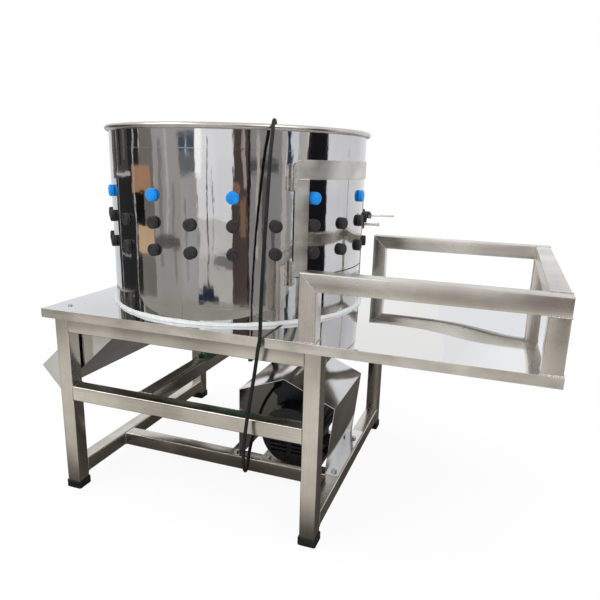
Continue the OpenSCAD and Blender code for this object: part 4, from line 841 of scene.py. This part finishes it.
join(tree, (place, "Object", parts, "Vector"), (place, "Object", distance, 0),
     (parts, "Y", in_front, "Value"), (distance, "Value", far_off, "Value"),
     (distance, "Value", white_share, "Value"), (in_front, "Result", painted_shade_tone, "Fac"),
     (far_off, "Result", painted_mirror_tone, "Fac"), (painted_shade_tone, "Color", painted_mirror_tone, "Color1"),
     (painted_mirror_tone, "Color", floor_tone, "Color2"), (ray, "Is Glossy Ray", mirrored, 0),
     (ray, "Is Transmission Ray", mirrored, 1), (mirrored, 0, mirrored_share, 0),
     (mirrored, 0, floor_tone, "Fac"), (floor_tone, "Color", glow, "Color"),
     (ray, "Is Camera Ray", glow_share, 0), (white_share, "Result", glow_share, 1),
     (mirrored_share, 0, glow_share, 2), (glow_share, 0, both, "Fac"), (chalk, 0, both, 1),
     (glow, 0, both, 2), (both, 0, floor_out, "Surface"))

# Painted reflections: glowing upright patches on a circle about the drum, each from one angle to
# another, from one height to another, in one painted tone. They are no lamps and light nothing. A
# later patch stands nearer, those that reach the top fade to white above it, and their sides waver.
# Only polished metal sees them.
# Their places come from edges in the photograph, and their tones from colours read off it, which
# may be more than a script like this is allowed.
reflection_card_radius, top, fade_top, patch_step, patch_foot = 2.6, 1.15, 1.9, 4 * mm, 2 * mm
patch_rows, fade_rows, patch_columns = 15, 9, 8
painted_reflection_patches = [
    (134, 165, 0, top, 0.8, 0.81, 0.84), (158, 165, 0.72, top, 0.15, 0.15, 0.15),
    (165, 206, 0, top, 0.03, 0.03, 0.032), (165, 192, 0.76, top, 0.085, 0.08, 0.078),
    (176, 179, 0.8, 1.08, 0.02, 0.02, 0.02), (184, 187, 0.84, 1.12, 0.17, 0.17, 0.17),
    (169.6, 170.6, 0, top, 0.55, 0.55, 0.55), (168, 194, 0.745, 0.762, 0.65, 0.65, 0.65),
    (172, 190, 0.245, 0.256, 0.5, 0.5, 0.5), (206, 222, 0, top, 0.24, 0.225, 0.21),
    (196, 218, 0.65, 0.81, 0.56, 0.32, 0.19), (200, 212, 0.455, 0.65, 0.012, 0.012, 0.012),
    (202, 221, 0.275, 0.455, 0.78, 0.54, 0.35), (199, 199.9, 0, top, 0.6, 0.6, 0.58),
    (222, 247, 0, top, 0.46, 0.44, 0.42), (227, 230, 0.2, 0.95, 0.31, 0.29, 0.28),
    (234, 236, 0.35, 1.05, 0.62, 0.6, 0.58), (240, 242, 0.1, 0.7, 0.33, 0.31, 0.29),
    (222, 246, 0.33, 0.4, 0.15, 0.14, 0.135), (247, 262, 0, top, 0.5, 0.49, 0.48),
    (247, 261, 0.76, 0.9, 0.19, 0.2, 0.215), (247, 260, 0.9, 1, 0.075, 0.1, 0.14),
    (252, 254, 0.87, 0.97, 0.5, 0.6, 0.7), (251, 253, 0.1, 0.62, 0.34, 0.33, 0.32),
    (262, 290, 0, 0.3, 0.66, 0.64, 0.61), (262, 290, 0.3, 0.52, 0.82, 0.8, 0.78),
    (262, 290, 0.52, top, 1.12, 1.13, 1.16), (261, 265.5, 0.75, top, 1.5, 1.5, 1.5),
    (269, 270, 0.05, 1, 0.13, 0.12, 0.12), (273.5, 274.1, 0.2, 0.8, 0.4, 0.4, 0.4),
    (275, 296, 0.235, 0.3, 0.26, 0.25, 0.24), (261, 278, 0, 0.07, 0.018, 0.028, 0.055),
    (265, 274, 0.07, 0.11, 0.018, 0.028, 0.055), (289, 303, 0, top, 0.1, 0.075, 0.07),
    (289, 294, 0.6, 0.72, 0.34, 0.19, 0.13), (295, 300, 0.42, 0.64, 0.29, 0.18, 0.12),
    (297, 299, 0.7, 1.05, 0.5, 0.45, 0.42), (301, 302.4, 0, top, 0.01, 0.01, 0.01),
    (303, 328, 0, top, 0.36, 0.35, 0.34), (303, 325, 0.8, 0.86, 0.11, 0.11, 0.115),
    (308, 310, 0.3, 1, 0.62, 0.6, 0.57), (313, 316, 0, 0.78, 0.13, 0.13, 0.13),
    (319, 322, 0, 0.5, 0.17, 0.16, 0.15), (328, 332, 0, top, 0.62, 0.6, 0.57),
    (332, 336, 0, top, 0.4, 0.4, 0.4), (332, 336, 0.84, top, 0.03, 0.05, 0.08),
    (336, 342, 0, top, 0.92, 0.97, 1.02), (342, 350, 0, top, 0.62, 0.61, 0.58),
    (350, 371, 0, top, 0.012, 0.012, 0.014), (371, 442, 0.16, top, 0.95, 0.955, 0.985),
    (371, 442, 0, 0.16, 0.62, 0.6, 0.56), (398, 399, 0, top, 0.45, 0.45, 0.45)]
patch_points, patch_tones, patch_faces = [], [], []
for k, (start, end, low, high, *tone) in enumerate(painted_reflection_patches):
    height = np.linspace(max(low, patch_foot), high, patch_rows)
    if high == top:
        height = np.append(height, np.linspace(top, fade_top, fade_rows)[1:])
    share = np.clip((height - top) / (fade_top - top), 0, 1)[:, None, None]
    share = share * share * (3 - 2 * share)
    height = height[:, None]
    turn = np.radians(np.linspace(start, end, patch_columns)[None] + 0.45 * np.sin(9 * height + start)
                      + 0.25 * np.sin(31 * height + 2 * start))
    points, faces = skin(about_drum(reflection_card_radius - patch_step * k, turn, height))[:2]
    patch_faces += [[sum(map(len, patch_points)) + corner for corner in face] for face in faces]
    patch_points.append(points)
    tones = np.ones((len(height), patch_columns, 4))
    tones[..., :3] = (1 - share) * np.array(tone) + share
    patch_tones.append(tones.ravel())
reflection_card_mesh = bpy.data.meshes.new("reflection_cards")
reflection_card_mesh.from_pydata(np.vstack(patch_points).tolist(), [], patch_faces)
tone_layer = reflection_card_mesh.attributes.new("tone", "FLOAT_COLOR", "POINT")
tone_layer.data.foreach_set("color", np.concatenate(patch_tones))
reflection_cards = put("reflection_cards", reflection_card_mesh)
reflection_cards.visible_camera = reflection_cards.visible_diffuse = reflection_cards.visible_shadow = reflection_cards.visible_transmission = False
tree, reflection_card_out = bare_paint("reflection card glow", reflection_card_mesh)
# The patches glow in their painted reflection tones, seen only in polished metal.
reflection_card_tone = add_node(tree, "Attribute", attribute_name="tone")
reflection_card_glow = add_node(tree, "Emission")
join(tree, (reflection_card_tone, "Color", reflection_card_glow, "Color"), (reflection_card_glow, 0, reflection_card_out, "Surface"))

# Three soft square lamps, the left and the right one in front, the top one behind, which
# polished metal doesn't mirror. The surround is half as bright where only dull things see it.
lit_place = np.array([0, 0, 0.5])
lamps = (("lamp_left", (-2.2, -2.4, 3.0), 2.2, 60), ("lamp_right", (2.6, -1.8, 3.0), 2.2, 45),
         ("lamp_top", (0.0, 0.6, 3.6), 2.6, 45))  # place, side in metres, watts
for name, where, size, power in lamps:
    lamp = put(name, bpy.data.lights.new(name, "AREA"))
    lamp.data.size = size
    lamp.data.energy = power
    lamp.visible_glossy = name != "lamp_top"
    aim = lit_place - where
    aim /= np.linalg.norm(aim)
    side = np.cross((0, 1, 0.01), -aim)
    side /= np.linalg.norm(side)
    lamp.matrix_world = aimed(side, np.cross(-aim, side), -aim, where)

world = bpy.data.worlds.new("surround")
bpy.context.scene.world = world
world.use_nodes = True
tree = world.node_tree
sky = tree.nodes["Background"]
sky.inputs["Color"].default_value = (1, 1, 1, 1)
ray = add_node(tree, "LightPath")
shiny = add_node(tree, "Math", operation="MAXIMUM")
direct = add_node(tree, "Math", operation="MAXIMUM")
level = add_node(tree, "MapRange", {"To Min": 0.5})
join(tree, (ray, "Is Glossy Ray", shiny, 0), (ray, "Is Transmission Ray", shiny, 1),
     (ray, "Is Camera Ray", direct, 0), (shiny, 0, direct, 1), (direct, 0, level, "Value"),
     (level, "Result", sky, "Strength"))
